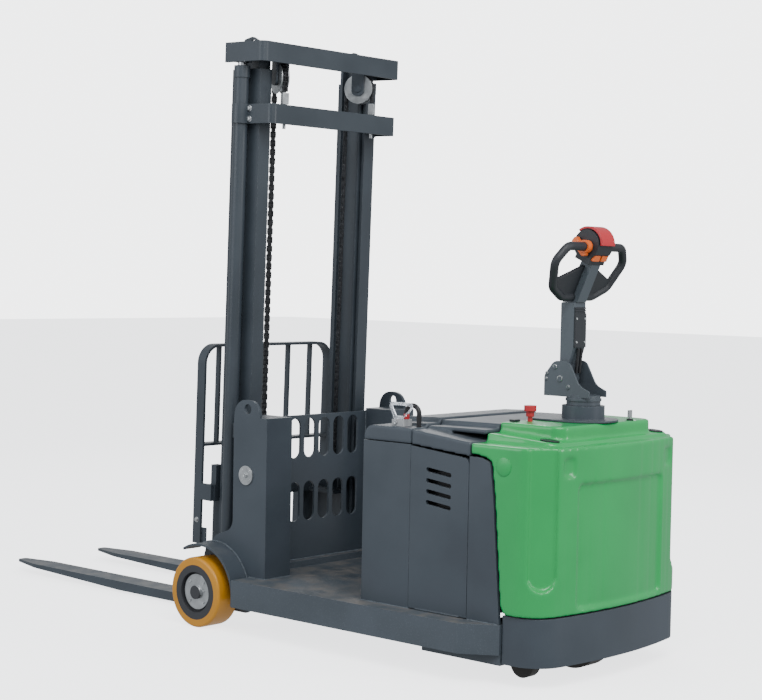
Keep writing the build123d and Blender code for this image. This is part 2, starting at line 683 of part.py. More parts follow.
def tiller_rear_cover():
    cover = block((ARM_X[0], ARM_X[0] + 6), (-ARM_HALF + 2, ARM_HALF - 2), (1042, 1150))
    for z in (1156, 1164, 1172):
        cover += block((ARM_X[0] + 2, ARM_X[0] + 6), (-ARM_HALF + 2, ARM_HALF - 2), (z - 6, z))
    return cover


def tiller_cables():
    """Cables that leave the arm under its rear cover and enter the collar."""
    lines = []
    for y in (-9.0, 9.0):
        line = Polyline((ARM_X[0] + 1, y, 1038), (TILLER_X - 34, y, TILLER_Z + 20))
        section = Plane(origin=line @ 0, z_dir=line % 0) * Circle(5)
        lines.append(sweep(section, path=line))
    return lines


def tiller_upper_arm():
    return plate("xz", [(ARM_X[0], NECK_Z + 0.3), up_arm(NECK_TOP, 0), up_arm(NECK_TOP, 42),
                        (ARM_X[1], NECK_Z + 0.3)], (-25, 25))


def tiller_head():
    head = rod("y", (HEAD_X, HEAD_Z), (-HEAD_HALF, HEAD_HALF), HEAD_R)
    low = NECK_TOP + 0.3
    neck = plate("xz", [up_arm(low, 0), up_arm(190, 4), up_arm(190, 60), up_arm(low, 60)],
                 (-HEAD_HALF, HEAD_HALF))
    whole = head + neck
    along, middle, half = BUTTON
    for side in (-1, 1):
        whole -= tilted_block(along, 10.5, (-30, 9), side * middle, half + 0.5)
    return whole


def tilted_block(along, half_along, out, middle, half):
    """A block lying square to the leaning upper arm."""
    corners = [up_arm(along - half_along, out[0]), up_arm(along + half_along, out[0]),
               up_arm(along + half_along, out[1]), up_arm(along - half_along, out[1])]
    return plate("xz", corners, (middle - half, middle + half))


def belly_button():
    """Red reversing button wrapped over the head's top and rear."""
    band = ring("y", (HEAD_X, HEAD_Z), (-36, 36), HEAD_R + 11, HEAD_R + 4)
    far = 3 * HEAD_R
    sector = []
    for angle in (55, 90, 135, 184):
        turn = math.radians(angle)
        sector.append((HEAD_X + far * math.cos(turn), HEAD_Z + far * math.sin(turn)))
    return band & plate("xz", [(HEAD_X, HEAD_Z)] + sector, (-40, 40))


GRIP_ROUTE = ((GRIP_X, HEAD_HALF, GRIP_Z), (GRIP_X, 150.0, GRIP_Z), (-1327.0, 190.0, 1318.0),
              (-1290.0, 150.0, 1236.0), (-1276.0, 84.0, 1206.0), (-1276.0, 25.0, 1206.0))


def grip():
    line = FilletPolyline(*GRIP_ROUTE, radius=[32, 36, 40, 40])
    tube = sweep(Plane(origin=line @ 0, z_dir=line % 0) * Circle(GRIP_R), path=line)
    normal = (math.cos(RISE), 0, math.sin(RISE))
    spot = Plane(origin=(GRIP_ROUTE[-1][0], 0, GRIP_ROUTE[-1][2]), x_dir=(0, 1, 0), z_dir=normal)
    web = spot * make_face(Polyline((25, -8), (84, -8), (146, 28), (150, 60), (25, 112),
                                    close=True))
    return tube + extrude(web, amount=6, both=True)


def throttle():
    """Butterfly wings that turn round the roots of the grips."""
    spot = (GRIP_X, GRIP_Z)
    wing = rod("y", spot, (HEAD_HALF + 3, HEAD_HALF + 24), 21)
    wing += plate("xz", [(GRIP_X - 14, GRIP_Z - 32, 8), (GRIP_X + 10, GRIP_Z - 30, 8),
                         (GRIP_X + 52, GRIP_Z + 16, 8), (GRIP_X + 34, GRIP_Z + 36, 8)],
                  (HEAD_HALF + 5, HEAD_HALF + 22))
    wing -= rod("y", spot, (HEAD_HALF, HEAD_HALF + 30), GRIP_R + 0.4)
    return both(wing)


def thumb_button(side):
    along, middle, half = BUTTON
    return tilted_block(along, 9.5, (-8, 4), side * middle, half)


# ---- wheels -----------------------------------------------------------------------------
def load_tyre():
    inner = WHEEL_OUT - WHEEL_W
    tyre = ring("y", (0, TYRE_R), (inner, WHEEL_OUT), TYRE_R, HUB_R)
    rims = tyre.edges().filter_by(GeomType.CIRCLE).filter_by(lambda e: e.radius > TYRE_R - 1)
    return fillet(rims, 9)


def load_hub():
    """Black hub with a deep recess, and the zinc plate bolted into it."""
    inner = WHEEL_OUT - WHEEL_W
    hub = ring("y", (0, TYRE_R), (inner, WHEEL_OUT), HUB_R, AXLE_R + RUN)
    hub -= rod("y", (0, TYRE_R), (WHEEL_OUT - 17, WHEEL_OUT + 1), 72)
    disc = rod("y", (0, TYRE_R), (WHEEL_OUT - 17, WHEEL_OUT - 11), 63)
    disc += rod("y", (0, TYRE_R), (WHEEL_OUT - 11, WHEEL_OUT + 0.0), 24)
    return [hub, disc]


# ---- outer mast -------------------------------------------------------------------------
def outer_channel():
    """Left outer rail: a channel open inwards, with its pivot foot and tube seat."""
    low, high = OUT_RAIL
    z = (OUT_LOW, OUT_TOP)
    web = block((low, high), (OUT_WEB - OUT_T, OUT_WEB), z)
    rear = block((low, low + OUT_T), (OUT_TIP, OUT_WEB - OUT_T), z)
    front = block((high - OUT_T, high), (OUT_TIP, OUT_WEB - OUT_T), z)
    foot = block((-45, 45), (OUT_WEB, OUT_WEB + 40), (70, TUBE_LOW))
    seat = block((TUBE_X - 30, TUBE_X + 32), (OUT_WEB, TUBE_Y + 28), (TUBE_LOW - 14, TUBE_LOW))
    rail = joined([web, rear, front, foot, seat])
    return rail - rod("y", (0, TYRE_R), (OUT_WEB - OUT_T + 6, OUT_WEB + 41), AXLE_R + RUN)


def foot_tie():
    low = OUT_RAIL[0]
    return block((low - 12, low), (-OUT_WEB, OUT_WEB), (OUT_LOW + 2, 180))


def outer_rails():
    """Both outer rails, leaned back, with their foot tie and the tilt brackets."""
    rails = joined(both(outer_channel()) + [foot_tie()])
    return [LEAN * rails] + both(tilt_knuckle())


def tie_bar():
    """Bar across the outer rails that clamps the tubes and carries the chain bolts."""
    half = TIE_HALF
    inner = half - CROSS_T
    leg = TUBE_X - TUBE_R - 8
    band = plate("xy", [(leg, -half), (TIE_X, -half, 22), (TIE_X, half, 22), (leg, half),
                        (leg, inner), (TIE_X + CROSS_T, inner, 10), (TIE_X + CROSS_T, -inner, 10),
                        (leg, -inner)], TIE_Z)
    sides = []
    for z in (TIE_Z[0] + 16, TIE_Z[1] - 28):
        sides.append(block((TIE_X + CROSS_T, OUT_RAIL[0]), (OUT_TIP, inner), (z, z + 12)))
    chain_x = PULLEY_X - chain_reach() * math.cos(math.radians(TOE))
    chain_y = PULLEY_Y + chain_reach() * math.sin(math.radians(TOE))
    shelf = block((TIE_X + CROSS_T, chain_x + 14), (chain_y - 16, OUT_TIP + 5),
                  (TIE_Z[1] - 28, TIE_Z[1] - 16))
    sides.append(shelf - rod("z", (chain_x, chain_y), (TIE_Z[0], TIE_Z[1]), 6 + RUN))
    strap = ring("z", (TUBE_X, TUBE_Y), TIE_Z, TUBE_R + 8, TUBE_R + RUN)
    strap &= block((-100, 100), (TUBE_Y, TUBE_Y + 80), TIE_Z)
    for x in (leg, TUBE_X + TUBE_R + RUN):
        strap += block((x, x + 8 - RUN), (OUT_WEB, TUBE_Y), TIE_Z)
    sides.append(strap)
    whole = [band]
    for piece in sides:
        whole.extend(both(piece))
    return joined(whole)


def cylinder_tube():
    tube = rod("z", (TUBE_X, TUBE_Y), (TUBE_LOW, TUBE_TOP), TUBE_R)
    tube += rod("z", (TUBE_X, TUBE_Y), (TUBE_TOP - 42, TUBE_TOP), TUBE_R + 3.5)
    return tube - rod("z", (TUBE_X, TUBE_Y), (TUBE_LOW + 15, TUBE_TOP + 1), ROD_R + RUN)


def chain_reach():
    return GROOVE_R + 0.3 + CHAIN_T / 2


def at_pulley(piece):
    """Turn a piece drawn in the X-Z plane at the origin into the left pulley's plane."""
    return Pos(PULLEY_X, PULLEY_Y, PULLEY_Z) * Rot(0, 0, -TOE) * piece


def strand(offset, low, high):
    half = CHAIN_W / 2
    return at_pulley(block((offset - CHAIN_T / 2, offset + CHAIN_T / 2), (-half, half),
                           (low - PULLEY_Z, high - PULLEY_Z)))


ANCHOR_TOP = TIE_Z[1] + 45.0
CARRIAGE_CHAIN_LOW = 480.0


def chain_anchor():
    """Clevis and bolt that hold the fixed end of a chain on the tie bar."""
    away = -chain_reach()
    clevis = at_pulley(block((away - 10, away + 10), (-12, 12),
                             (ANCHOR_TOP - 40 - PULLEY_Z, ANCHOR_TOP - PULLEY_Z)))
    bolt = at_pulley(rod("z", (away, 0), (TIE_Z[0] - 14 - PULLEY_Z, ANCHOR_TOP - 40 - PULLEY_Z),
                         6))
    return clevis + bolt


def anchor_strand():
    return strand(-chain_reach(), ANCHOR_TOP, PULLEY_Z)


def tilt_knuckle():
    """Bracket on the outer rail that the tilt rod pushes, built where it stands."""
    x, z = KNUCKLE
    span = (x - 18, x + 20)
    top = block(span, (OUT_WEB, OUT_WEB + 48), (z + 22, z + 34))
    inner = block(span, (OUT_WEB, OUT_WEB + 7), (z - 18, z + 34))
    outer = block(span, (OUT_WEB + 41, OUT_WEB + 48), (z - 18, z + 34))
    pin = rod("y", KNUCKLE, (OUT_WEB + 7, OUT_WEB + 41), KNUCKLE_R)
    return joined([top, inner, outer, pin])


# ---- inner mast -------------------------------------------------------------------------
def inner_channel():
    """Left inner rail, an I section that runs inside the outer channel."""
    low, high = IN_RAIL
    web = block((low, high), IN_WEB, (IN_LOW, CAP_Z))
    rail = web
    for x in ((low, low + IN_T), (high - IN_T, high)):
        rail += block(x, (IN_TIPS[0], IN_WEB[0]), (IN_LOW, CAP_Z))
        rail += block(x, (IN_WEB[1], IN_TIPS[1]), (IN_LOW + 150, CAP_Z))
    return rail


def inner_tie():
    low = IN_RAIL[0]
    return block((low - 5, low), (-OUT_TIP + 4, OUT_TIP - 4), (IN_LOW + 5, IN_LOW + 80))


def mast_roller():
    x = (OUT_RAIL[0] + OUT_RAIL[1]) / 2
    radius = (OUT_RAIL[1] - OUT_RAIL[0]) / 2 - OUT_T - 1
    return rod("y", (x, IN_LOW + 70), (IN_WEB[1], OUT_WEB - OUT_T - 1), radius)


def crosshead():
    """U-shaped bar over the inner rails, with rod seats, pulley brackets and lifting eyes."""
    half = CROSS_HALF
    inner = half - CROSS_T
    rear, front = CROSS_X
    band = plate("xy", [(front, -half), (rear, -half, 24), (rear, half, 24), (front, half),
                        (front, inner), (rear + CROSS_T, inner, 12),
                        (rear + CROSS_T, -inner, 12), (front, -inner)], CROSS_Z)
    cap = block((rear + CROSS_T, front), (IN_TIPS[0] - 2, inner), (CAP_Z, CAP_Z + 12))
    hanger = block((rear + CROSS_T, PULLEY_X + 45), (170, IN_TIPS[0] + 2), (CAP_Z, CAP_Z + 12))
    seat = block((TUBE_X - 25, TUBE_X + 25), (OUT_WEB + 8, inner), (CROSS_Z[0], CROSS_Z[0] + 12))
    ear = plate("xz", [(front - 1, CAP_Z + 12), (front - 1, CAP_Z + 50, 8),
                       (front - 44, CAP_Z + 60, 22), (front - 76, CAP_Z + 44, 10),
                       (front - 76, CAP_Z + 12)], IN_WEB)
    ear -= rod("y", (front - 46, CAP_Z + 38), (IN_WEB[0] - 1, IN_WEB[1] + 1), 11)
    whole = [band]
    for piece in (cap, hanger, seat, ear, pulley_bracket()):
        whole.extend(both(piece))
    return joined(whole)


def pulley_bracket():
    """Two cheeks hanging from the crosshead with the pulley's pin."""
    gap = PULLEY_W / 2 + 1.5
    top = CAP_Z - PULLEY_Z + 2
    outline = [(-24, top), (-24, -26, 20), (24, -26, 20), (24, top)]
    cheeks = plate("xz", outline, (gap, gap + 8)) + plate("xz", outline, (-gap - 8, -gap))
    pin = rod("y", (0, 0), (-gap, gap), 10)
    head = rod("y", (0, 0), (-gap - 13, -gap - 8), 14) + rod("y", (0, 0), (-gap - 8, -gap), 10)
    return at_pulley(joined([cheeks, pin, head]))


def lift_rod():
    return rod("z", (TUBE_X, TUBE_Y), (TUBE_LOW + 25, CROSS_Z[0]), ROD_R)


def pulley():
    wheel = ring("y", (0, 0), (-PULLEY_W / 2, PULLEY_W / 2), PULLEY_R, 10 + RUN)
    half = CHAIN_W / 2 + 1
    wheel -= ring("y", (0, 0), (-half, half), PULLEY_R + 5, GROOVE_R)
    return at_pulley(wheel)


def carriage_strand():
    """Chain from the carriage up and over the pulley."""
    half = CHAIN_W / 2
    reach = chain_reach()
    bow = ring("y", (0, 0), (-half, half), reach + CHAIN_T / 2, reach - CHAIN_T / 2)
    bow &= block((-100, 100), (-half, half), (0, 100))
    return strand(reach, CARRIAGE_CHAIN_LOW, PULLEY_Z) + at_pulley(bow)


# ---- carriage and forks -----------------------------------------------------------------
def carriage_frame():
    """Two fork bars on side plates, with the chain lugs and rollers."""
    parts = []
    for z in (BAR_HIGH, BAR_LOW):
        parts.append(block(BAR_X, (-BAR_HALF, BAR_HALF), z))
    side = block((IN_RAIL[0] + 7, BAR_X[0]), SIDE_Y, (BAR_LOW[0] + 15, BAR_HIGH[1]))
    chain_x = PULLEY_X + chain_reach() * math.cos(math.radians(TOE))
    chain_y = PULLEY_Y - chain_reach() * math.sin(math.radians(TOE))
    lug = block((IN_RAIL[0] + 7, BAR_X[0]), (chain_y - 16, SIDE_Y[0]), (425, 440))
    clevis = block((chain_x - 10, chain_x + 10), (chain_y - 12, chain_y + 12),
                   (440, CARRIAGE_CHAIN_LOW))
    stop = block((BAR_X[0], BAR_X[1] - 6), (286, 316), (BAR_HIGH[1], BAR_HIGH[1] + 72))
    for piece in (side, lug, clevis, stop):
        parts.extend(both(piece))
    whole = joined(parts)
    x = (IN_RAIL[0] + IN_RAIL[1]) / 2
    radius = (IN_RAIL[1] - IN_RAIL[0]) / 2 - IN_T - 1
    for z in (140, BAR_HIGH[0]):
        stub = rod("y", (x, z), (SIDE_Y[1], SIDE_Y[1] + 6), 14)
        roller = rod("y", (x, z), (SIDE_Y[1] + 6, IN_WEB[0] - 2), radius)
        whole += joined(both(stub + roller))
    return whole


def backrest():
    """Load backrest: a bent flat bar with uprights and a cross bar."""
    half = REST_HALF
    inner = half - REST_T
    frame = plate("yz", [(-half, REST_LOW), (-half, REST_TOP, 70), (half, REST_TOP, 70),
                         (half, REST_LOW), (inner, REST_LOW), (inner, REST_TOP - REST_T, 60),
                         (-inner, REST_TOP - REST_T, 60), (-inner, REST_LOW)], REST_X)
    bar = block(REST_X, (-inner, inner), (REST_MID - REST_T / 2, REST_MID + REST_T / 2))
    whole = frame + bar
    for i in range(5):
        y = (i - 2) * 120
        whole += block((REST_X[1] - 20, REST_X[1]), (y - REST_T / 2, y + REST_T / 2),
                       (REST_MID, REST_TOP - REST_T))
    ear = block((BAR_X[1] - 28, REST_X[0]), (BAR_HALF, half), BAR_HIGH)
    low_ear = block((BAR_X[1], REST_X[0] + 10), (BAR_HALF + 1, inner + 2), (REST_LOW, REST_LOW + 60))
    return joined([whole] + both(ear) + both(low_ear))


def fork():
    """Left fork: level blade, leaning shank and the hooks over the bars."""
    top = FORK_LOW + FORK_T
    blade = plate("xz", [(HEEL_X - FORK_T, FORK_LOW, 12), (700, FORK_LOW),
                         (FORK_TIP, top - 10), (FORK_TIP, top), (HEEL_X - FORK_T, top)],
                  (FORK_Y - FORK_W / 2, FORK_Y + FORK_W / 2))
    tip = plate("xy", [(0, FORK_Y - FORK_W / 2), (FORK_TIP - 150, FORK_Y - FORK_W / 2, 200),
                       (FORK_TIP, FORK_Y - 20, 12), (FORK_TIP, FORK_Y + 20, 12),
                       (FORK_TIP - 150, FORK_Y + FORK_W / 2, 200), (0, FORK_Y + FORK_W / 2)],
                (-10, 200))
    blade &= tip
    near = BAR_X[1] + 0.4
    y = (FORK_Y - FORK_W / 2, FORK_Y + FORK_W / 2)
    shank = block((near, HEEL_X), y, (top - 20, SHANK_TOP))
    hook = block((BAR_X[1] - 20, HEEL_X), y, (BAR_HIGH[1] + 0.4, BAR_HIGH[1] + 20))
    upright = LEAN * (shank + hook)
    return blade + upright


# ---- tilt cylinders ---------------------------------------------------------------------
def along_tilt(piece):
    """Stand a piece drawn along +Z from the origin on the line between the two pins."""
    run = KNUCKLE[0] - ANCHOR[0]
    rise = KNUCKLE[1] - ANCHOR[1]
    turn = math.degrees(math.atan2(run, rise))
    return Pos(ANCHOR[0], TILT_Y, ANCHOR[1]) * Rot(0, turn, 0) * piece


def tilt_length():
    return math.hypot(KNUCKLE[0] - ANCHOR[0], KNUCKLE[1] - ANCHOR[1])


def tilt_barrel():
    barrel = rod("z", (0, 0), (14, tilt_length() - 52), BARREL_R)
    barrel += rod("y", (0, 0), (-BARREL_R, BARREL_R), 20)
    barrel -= rod("z", (0, 0), (36, tilt_length()), TILT_ROD_R + RUN)
    return along_tilt(barrel - rod("y", (0, 0), (-30, 30), TILT_PIN_R + RUN))


def tilt_rod():
    length = tilt_length()
    bar = rod("z", (0, 0), (56, length - 10), TILT_ROD_R)
    bar += rod("y", (0, length), (-15, 15), KNUCKLE_R + EYE_PLAY + 6)
    return along_tilt(bar - rod("y", (0, length), (-16, 16), KNUCKLE_R + EYE_PLAY))


# ---- write every node -------------------------------------------------------------------
save("base_frame", base_frame())
save("mast_supports", *both(mast_support()))
save("guard_plate", guard_plate())
save("axles_and_pins", *axles_and_pins())
save("rear_bumper", rear_bumper())
save("battery_housing", battery_housing())
save("left_side_door", side_door())
save("right_side_door", other_side(side_door()))
save("front_top_cover", front_top_cover())
save("battery_lid", battery_lid())
save("battery_pack", battery_pack())
save("rear_hood", rear_hood())
save("hood_fittings", *hood_fittings())
save("key", key())
save("estop_button", estop_button())
save("tiller_base_plate", tiller_base_plate())
save("battery_connector", battery_connector())
save("connector_handle", connector_handle())
save("battery_cable", battery_cable())
save("power_unit", *power_unit())
save("drive_gearbox", drive_gearbox())
save("drive_wheel", drive_wheel())
save("drive_motor", drive_motor())
save("steering_yoke", steering_yoke())
for side_name, place in (("left", lambda p: p), ("right", other_side)):
    save(f"{side_name}_caster_fork", place(caster_fork()))
    save(f"{side_name}_caster_wheel", place(caster_wheel()))
    save(f"{side_name}_load_tyre", place(load_tyre()))
    save(f"{side_name}_load_hub", *[place(p) for p in load_hub()])
    save(f"{side_name}_pulley", place(pulley()), leaned=True)
    save(f"{side_name}_fork", place(fork()))
save("tiller_lower_arm", tiller_lower_arm())
save("tiller_rear_cover", tiller_rear_cover())
save("tiller_cables", *tiller_cables())
save("tiller_upper_arm", tiller_upper_arm())
save("tiller_head", tiller_head())
save("belly_button", belly_button())
save("tiller_grips", *both(grip()))
save("throttle", *throttle())
save("horn_button", thumb_button(1))
save("lift_button", thumb_button(-1))
save("outer_channels", *outer_rails())
save("tie_bar", tie_bar(), leaned=True)
save("cylinder_tubes", *both(cylinder_tube()), leaned=True)
save("chain_anchors", *both(chain_anchor()), leaned=True)
save("anchor_chains", *both(anchor_strand()), leaned=True)
save("inner_channels", *both(inner_channel()), inner_tie(), leaned=True)
save("mast_rollers", *both(mast_roller()), leaned=True)
save("crosshead", crosshead(), leaned=True)
save("lift_rods", *both(lift_rod()), leaned=True)
save("carriage_chains", *both(carriage_strand()), leaned=True)
save("carriage_frame", carriage_frame(), leaned=True)
save("backrest", backrest(), leaned=True)
save("tilt_barrels", *both(tilt_barrel()))
save("tilt_rods", *both(tilt_rod()))
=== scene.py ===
# %% [markdown]
# # A pedestrian stacker, dressed around its imported frame
# The frame holds every steel part, wheel and cover at its true place and size.
# This lesson gives each part its finish and adds what a frame leaves out:
# moulded covers with soft edges, welds, screws, leaf chains and a dusty deck.
# The first cell loads the frame and keeps its box, which sets the floor's height.

# %% Load the frame
import bmesh
import bpy
import json
import math
from mathutils import Matrix, Vector

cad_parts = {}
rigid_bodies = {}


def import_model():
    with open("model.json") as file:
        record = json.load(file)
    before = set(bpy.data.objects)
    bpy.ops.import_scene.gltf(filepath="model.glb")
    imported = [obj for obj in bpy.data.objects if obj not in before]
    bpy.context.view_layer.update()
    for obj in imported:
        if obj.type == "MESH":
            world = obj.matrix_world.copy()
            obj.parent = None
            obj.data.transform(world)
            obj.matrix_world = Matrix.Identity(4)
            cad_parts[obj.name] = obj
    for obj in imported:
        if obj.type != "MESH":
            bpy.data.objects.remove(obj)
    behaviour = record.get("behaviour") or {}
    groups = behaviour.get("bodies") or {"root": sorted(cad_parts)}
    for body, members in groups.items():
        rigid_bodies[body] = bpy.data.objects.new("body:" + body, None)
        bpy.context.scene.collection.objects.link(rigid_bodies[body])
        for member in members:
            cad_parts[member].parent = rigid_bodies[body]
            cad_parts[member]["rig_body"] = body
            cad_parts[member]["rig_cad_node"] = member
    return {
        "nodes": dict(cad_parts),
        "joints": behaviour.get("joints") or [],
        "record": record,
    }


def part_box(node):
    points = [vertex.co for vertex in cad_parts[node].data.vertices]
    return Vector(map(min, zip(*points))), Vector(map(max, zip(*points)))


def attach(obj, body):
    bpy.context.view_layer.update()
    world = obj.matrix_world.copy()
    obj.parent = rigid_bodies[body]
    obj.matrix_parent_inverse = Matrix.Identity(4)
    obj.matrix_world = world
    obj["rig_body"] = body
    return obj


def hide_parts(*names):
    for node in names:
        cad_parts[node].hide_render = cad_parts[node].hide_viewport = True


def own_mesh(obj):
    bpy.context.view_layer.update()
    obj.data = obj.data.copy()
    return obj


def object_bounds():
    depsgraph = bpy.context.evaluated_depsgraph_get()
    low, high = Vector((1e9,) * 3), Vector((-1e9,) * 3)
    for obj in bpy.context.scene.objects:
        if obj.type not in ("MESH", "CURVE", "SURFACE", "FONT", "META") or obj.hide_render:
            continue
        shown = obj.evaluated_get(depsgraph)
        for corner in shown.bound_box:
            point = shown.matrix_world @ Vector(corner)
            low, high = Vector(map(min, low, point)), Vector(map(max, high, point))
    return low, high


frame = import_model()
cad_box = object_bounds()
nodes = frame["nodes"]
record = frame["record"]

# %% [markdown]
# ## Camera
# The camera comes first, because every later choice is judged through it.
# It is set by a place, a heading, a pitch and a small roll. The three angles
# make two unit vectors, and a matrix is built from them, which avoids the
# guesswork of turning a camera by hand.

# %% Camera
EYE = Vector((-4.5103, 4.6132, 1.2700))
HEADING, PITCH, ROLL = (math.radians(a) for a in (-48.9, -2.6, 1.1))
PICTURE_WIDTH = 762.0
FOCAL = 1731.6


def look_matrix(eye, heading, pitch, roll):
    ahead = Vector((math.cos(pitch) * math.cos(heading), math.cos(pitch) * math.sin(heading),
                    math.sin(pitch)))
    right = ahead.cross(Vector((0, 0, 1))).normalized()
    up = right.cross(ahead)
    right_r = right * math.cos(roll) + up * math.sin(roll)
    up_r = up * math.cos(roll) - right * math.sin(roll)
    turn = Matrix((right_r, up_r, -ahead)).transposed().to_4x4()
    return Matrix.Translation(eye) @ turn


camera_data = bpy.data.cameras.new("camera")
camera_data.sensor_width = 36.0
camera_data.lens = FOCAL / PICTURE_WIDTH * camera_data.sensor_width
camera_data.shift_x = -0.0304
camera_data.shift_y = 0.0031
camera_data.clip_end = 60.0
camera = bpy.data.objects.new("camera", camera_data)
camera.matrix_world = look_matrix(EYE, HEADING, PITCH, ROLL)
bpy.context.scene.collection.objects.link(camera)
bpy.context.scene.camera = camera
print("lens", round(camera_data.lens, 2))

# %% [markdown]
# ## Floor and light
# The floor is one wide flat plane. It glows a little, to come near the pale
# backdrop, and reflections and bounced light ignore it, so that the glow does not
# wash out the paint. The world is brighter to the camera than it is as a light.
# Four area lamps stand for a bright hall: a key over the drive end, a softer fill
# from the side, a strip behind the hood and one from the back.

# %% Floor and light
scene = bpy.context.scene
world = bpy.data.worlds.new("hall")
world.use_nodes = True
sky = world.node_tree
ambient = sky.nodes["Background"]
ambient.inputs["Color"].default_value = (0.90, 0.93, 0.97, 1)
ambient.inputs["Strength"].default_value = 0.62
backdrop = sky.nodes.new("ShaderNodeBackground")
backdrop.inputs["Color"].default_value = (0.96, 0.97, 0.98, 1)
backdrop.inputs["Strength"].default_value = 4.4
seen = sky.nodes.new("ShaderNodeLightPath")
choose = sky.nodes.new("ShaderNodeMixShader")
sky.links.new(seen.outputs["Is Camera Ray"], choose.inputs[0])
sky.links.new(ambient.outputs[0], choose.inputs[1])
sky.links.new(backdrop.outputs[0], choose.inputs[2])
sky.links.new(choose.outputs[0], sky.nodes["World Output"].inputs["Surface"])
scene.world = world


def lamp(name, place, aim, size, watts, colour=(1, 1, 1)):
    data = bpy.data.lights.new(name, "AREA")
    data.shape = "RECTANGLE"
    data.size, data.size_y = size
    data.energy = watts
    data.color = colour
    piece = bpy.data.objects.new(name, data)
    piece.matrix_world = Matrix.Translation(place) @ (
        Vector(aim) - Vector(place)).to_track_quat("-Z", "Y").to_matrix().to_4x4()
    scene.collection.objects.link(piece)


lamp("key", (-3.4, 2.2, 4.4), (-0.6, 0, 0.6), (3.2, 2.6), 190)
lamp("fill", (1.6, 4.6, 2.6), (0, 0, 0.9), (3.0, 3.0), 70, (0.93, 0.96, 1.0))
lamp("strip", (-5.2, -1.4, 2.4), (-1.3, 0, 0.6), (0.9, 2.8), 60)
lamp("back", (2.6, -3.6, 3.4), (0, 0, 1.0), (2.4, 2.4), 60)

deselect = bpy.ops.object.select_all
deselect(action="DESELECT")
bpy.ops.mesh.primitive_plane_add(size=60, location=(0, 0, cad_box[0][2] - 0.0005))
floor = bpy.context.object
floor.name = "floor"
pale = bpy.data.materials.new("pale_floor")
pale.use_nodes = True
pale_shader = pale.node_tree.nodes["Principled BSDF"]
pale_shader.inputs["Base Color"].default_value = (0.90, 0.91, 0.92, 1)
pale_shader.inputs["Roughness"].default_value = 0.8
pale_shader.inputs["Emission Color"].default_value = (0.97, 0.98, 1.0, 1)
pale_shader.inputs["Emission Strength"].default_value = 2.4
floor.data.materials.append(pale)
floor.visible_diffuse = False
floor.visible_glossy = False

# %% [markdown]
# ## Building blocks for finishes
# Painted steel, moulded plastic and rubber share a few effects: uneven colour,
# a fine bumpy skin, dust that settles on upper faces, and paint that thins at
# edges. Each effect is a node group made once, with its sockets named for what
# they do, and every finish then places the groups with its own numbers.

# %% Node helpers
def new_group(name, inputs, outputs):
    tree = bpy.data.node_groups.new(name, "ShaderNodeTree")
    for label, value in inputs:
        socket = tree.interface.new_socket(label, in_out="INPUT", socket_type="NodeSocketFloat")
        socket.default_value = value
    for label, kind in outputs:
        tree.interface.new_socket(label, in_out="OUTPUT", socket_type=kind)
    entry = tree.nodes.new("NodeGroupInput")
    leave = tree.nodes.new("NodeGroupOutput")
    return tree, entry, leave


def add(tree, kind, **settings):
    node = tree.nodes.new(kind)
    for key, value in settings.items():
        if key in node.inputs:
            node.inputs[key].default_value = value
        else:
            setattr(node, key, value)
    return node


def math_node(tree, operation, first, second, clamp=False):
    node = add(tree, "ShaderNodeMath", operation=operation, use_clamp=clamp)
    for index, value in enumerate((first, second)):
        if isinstance(value, (int, float)):
            node.inputs[index].default_value = value
        else:
            tree.links.new(value, node.inputs[index])
    return node.outputs[0]


def ramp(tree, source, low, high, start=0.0, end=1.0):
    """Map a value between low and high to start and end, smoothly."""
    node = add(tree, "ShaderNodeMapRange", interpolation_type="SMOOTHSTEP")
    tree.links.new(source, node.inputs["Value"])
    node.inputs["From Min"].default_value = low
    node.inputs["From Max"].default_value = high
    node.inputs["To Min"].default_value = start
    node.inputs["To Max"].default_value = end
    return node.outputs["Result"]


def mix_colour(tree, factor, first, second):
    node = add(tree, "ShaderNodeMix", data_type="RGBA")
    slots = [s for s in node.inputs if s.name in ("A", "B") and s.type == "RGBA"]
    for socket, value in zip([node.inputs[0]] + slots, (factor, first, second)):
        if isinstance(value, (int, float)):
            socket.default_value = value
        elif isinstance(value, tuple):
            socket.default_value = (*value[:3], 1)
        else:
            tree.links.new(value, socket)
    return [s for s in node.outputs if s.type == "RGBA"][0]


print("helpers ready")

# %% [markdown]
# ## Four shared effects
# Each function below builds one node group. They give a mask, a height or a
# rounded normal and never a whole surface, so that a finish can mix them freely.

# %% Effects shared by the finishes
def build_edge_group():
    """Mask that is 1 along outer edges and 0 on open faces, broken up by noise."""
    tree, entry, leave = new_group("edge_wear", [("Radius", 0.003), ("Break Up", 60.0)],
                                   [("Mask", "NodeSocketFloat"), ("Normal", "NodeSocketVector")])
    soft = add(tree, "ShaderNodeBevel", samples=4)
    tree.links.new(entry.outputs["Radius"], soft.inputs["Radius"])
    true = add(tree, "ShaderNodeNewGeometry")
    dot = add(tree, "ShaderNodeVectorMath", operation="DOT_PRODUCT")
    tree.links.new(soft.outputs[0], dot.inputs[0])
    tree.links.new(true.outputs["Normal"], dot.inputs[1])
    place = add(tree, "ShaderNodeTexCoord")
    noise = add(tree, "ShaderNodeTexNoise", Detail=6.0)
    tree.links.new(place.outputs["Object"], noise.inputs["Vector"])
    tree.links.new(entry.outputs["Break Up"], noise.inputs["Scale"])
    edge = math_node(tree, "SUBTRACT", 1.0, dot.outputs["Value"])
    chips = ramp(tree, noise.outputs["Fac"], 0.42, 0.62)
    tree.links.new(math_node(tree, "MULTIPLY", ramp(tree, edge, 0.02, 0.16), chips, True),
                   leave.inputs["Mask"])
    tree.links.new(soft.outputs[0], leave.inputs["Normal"])
    return tree


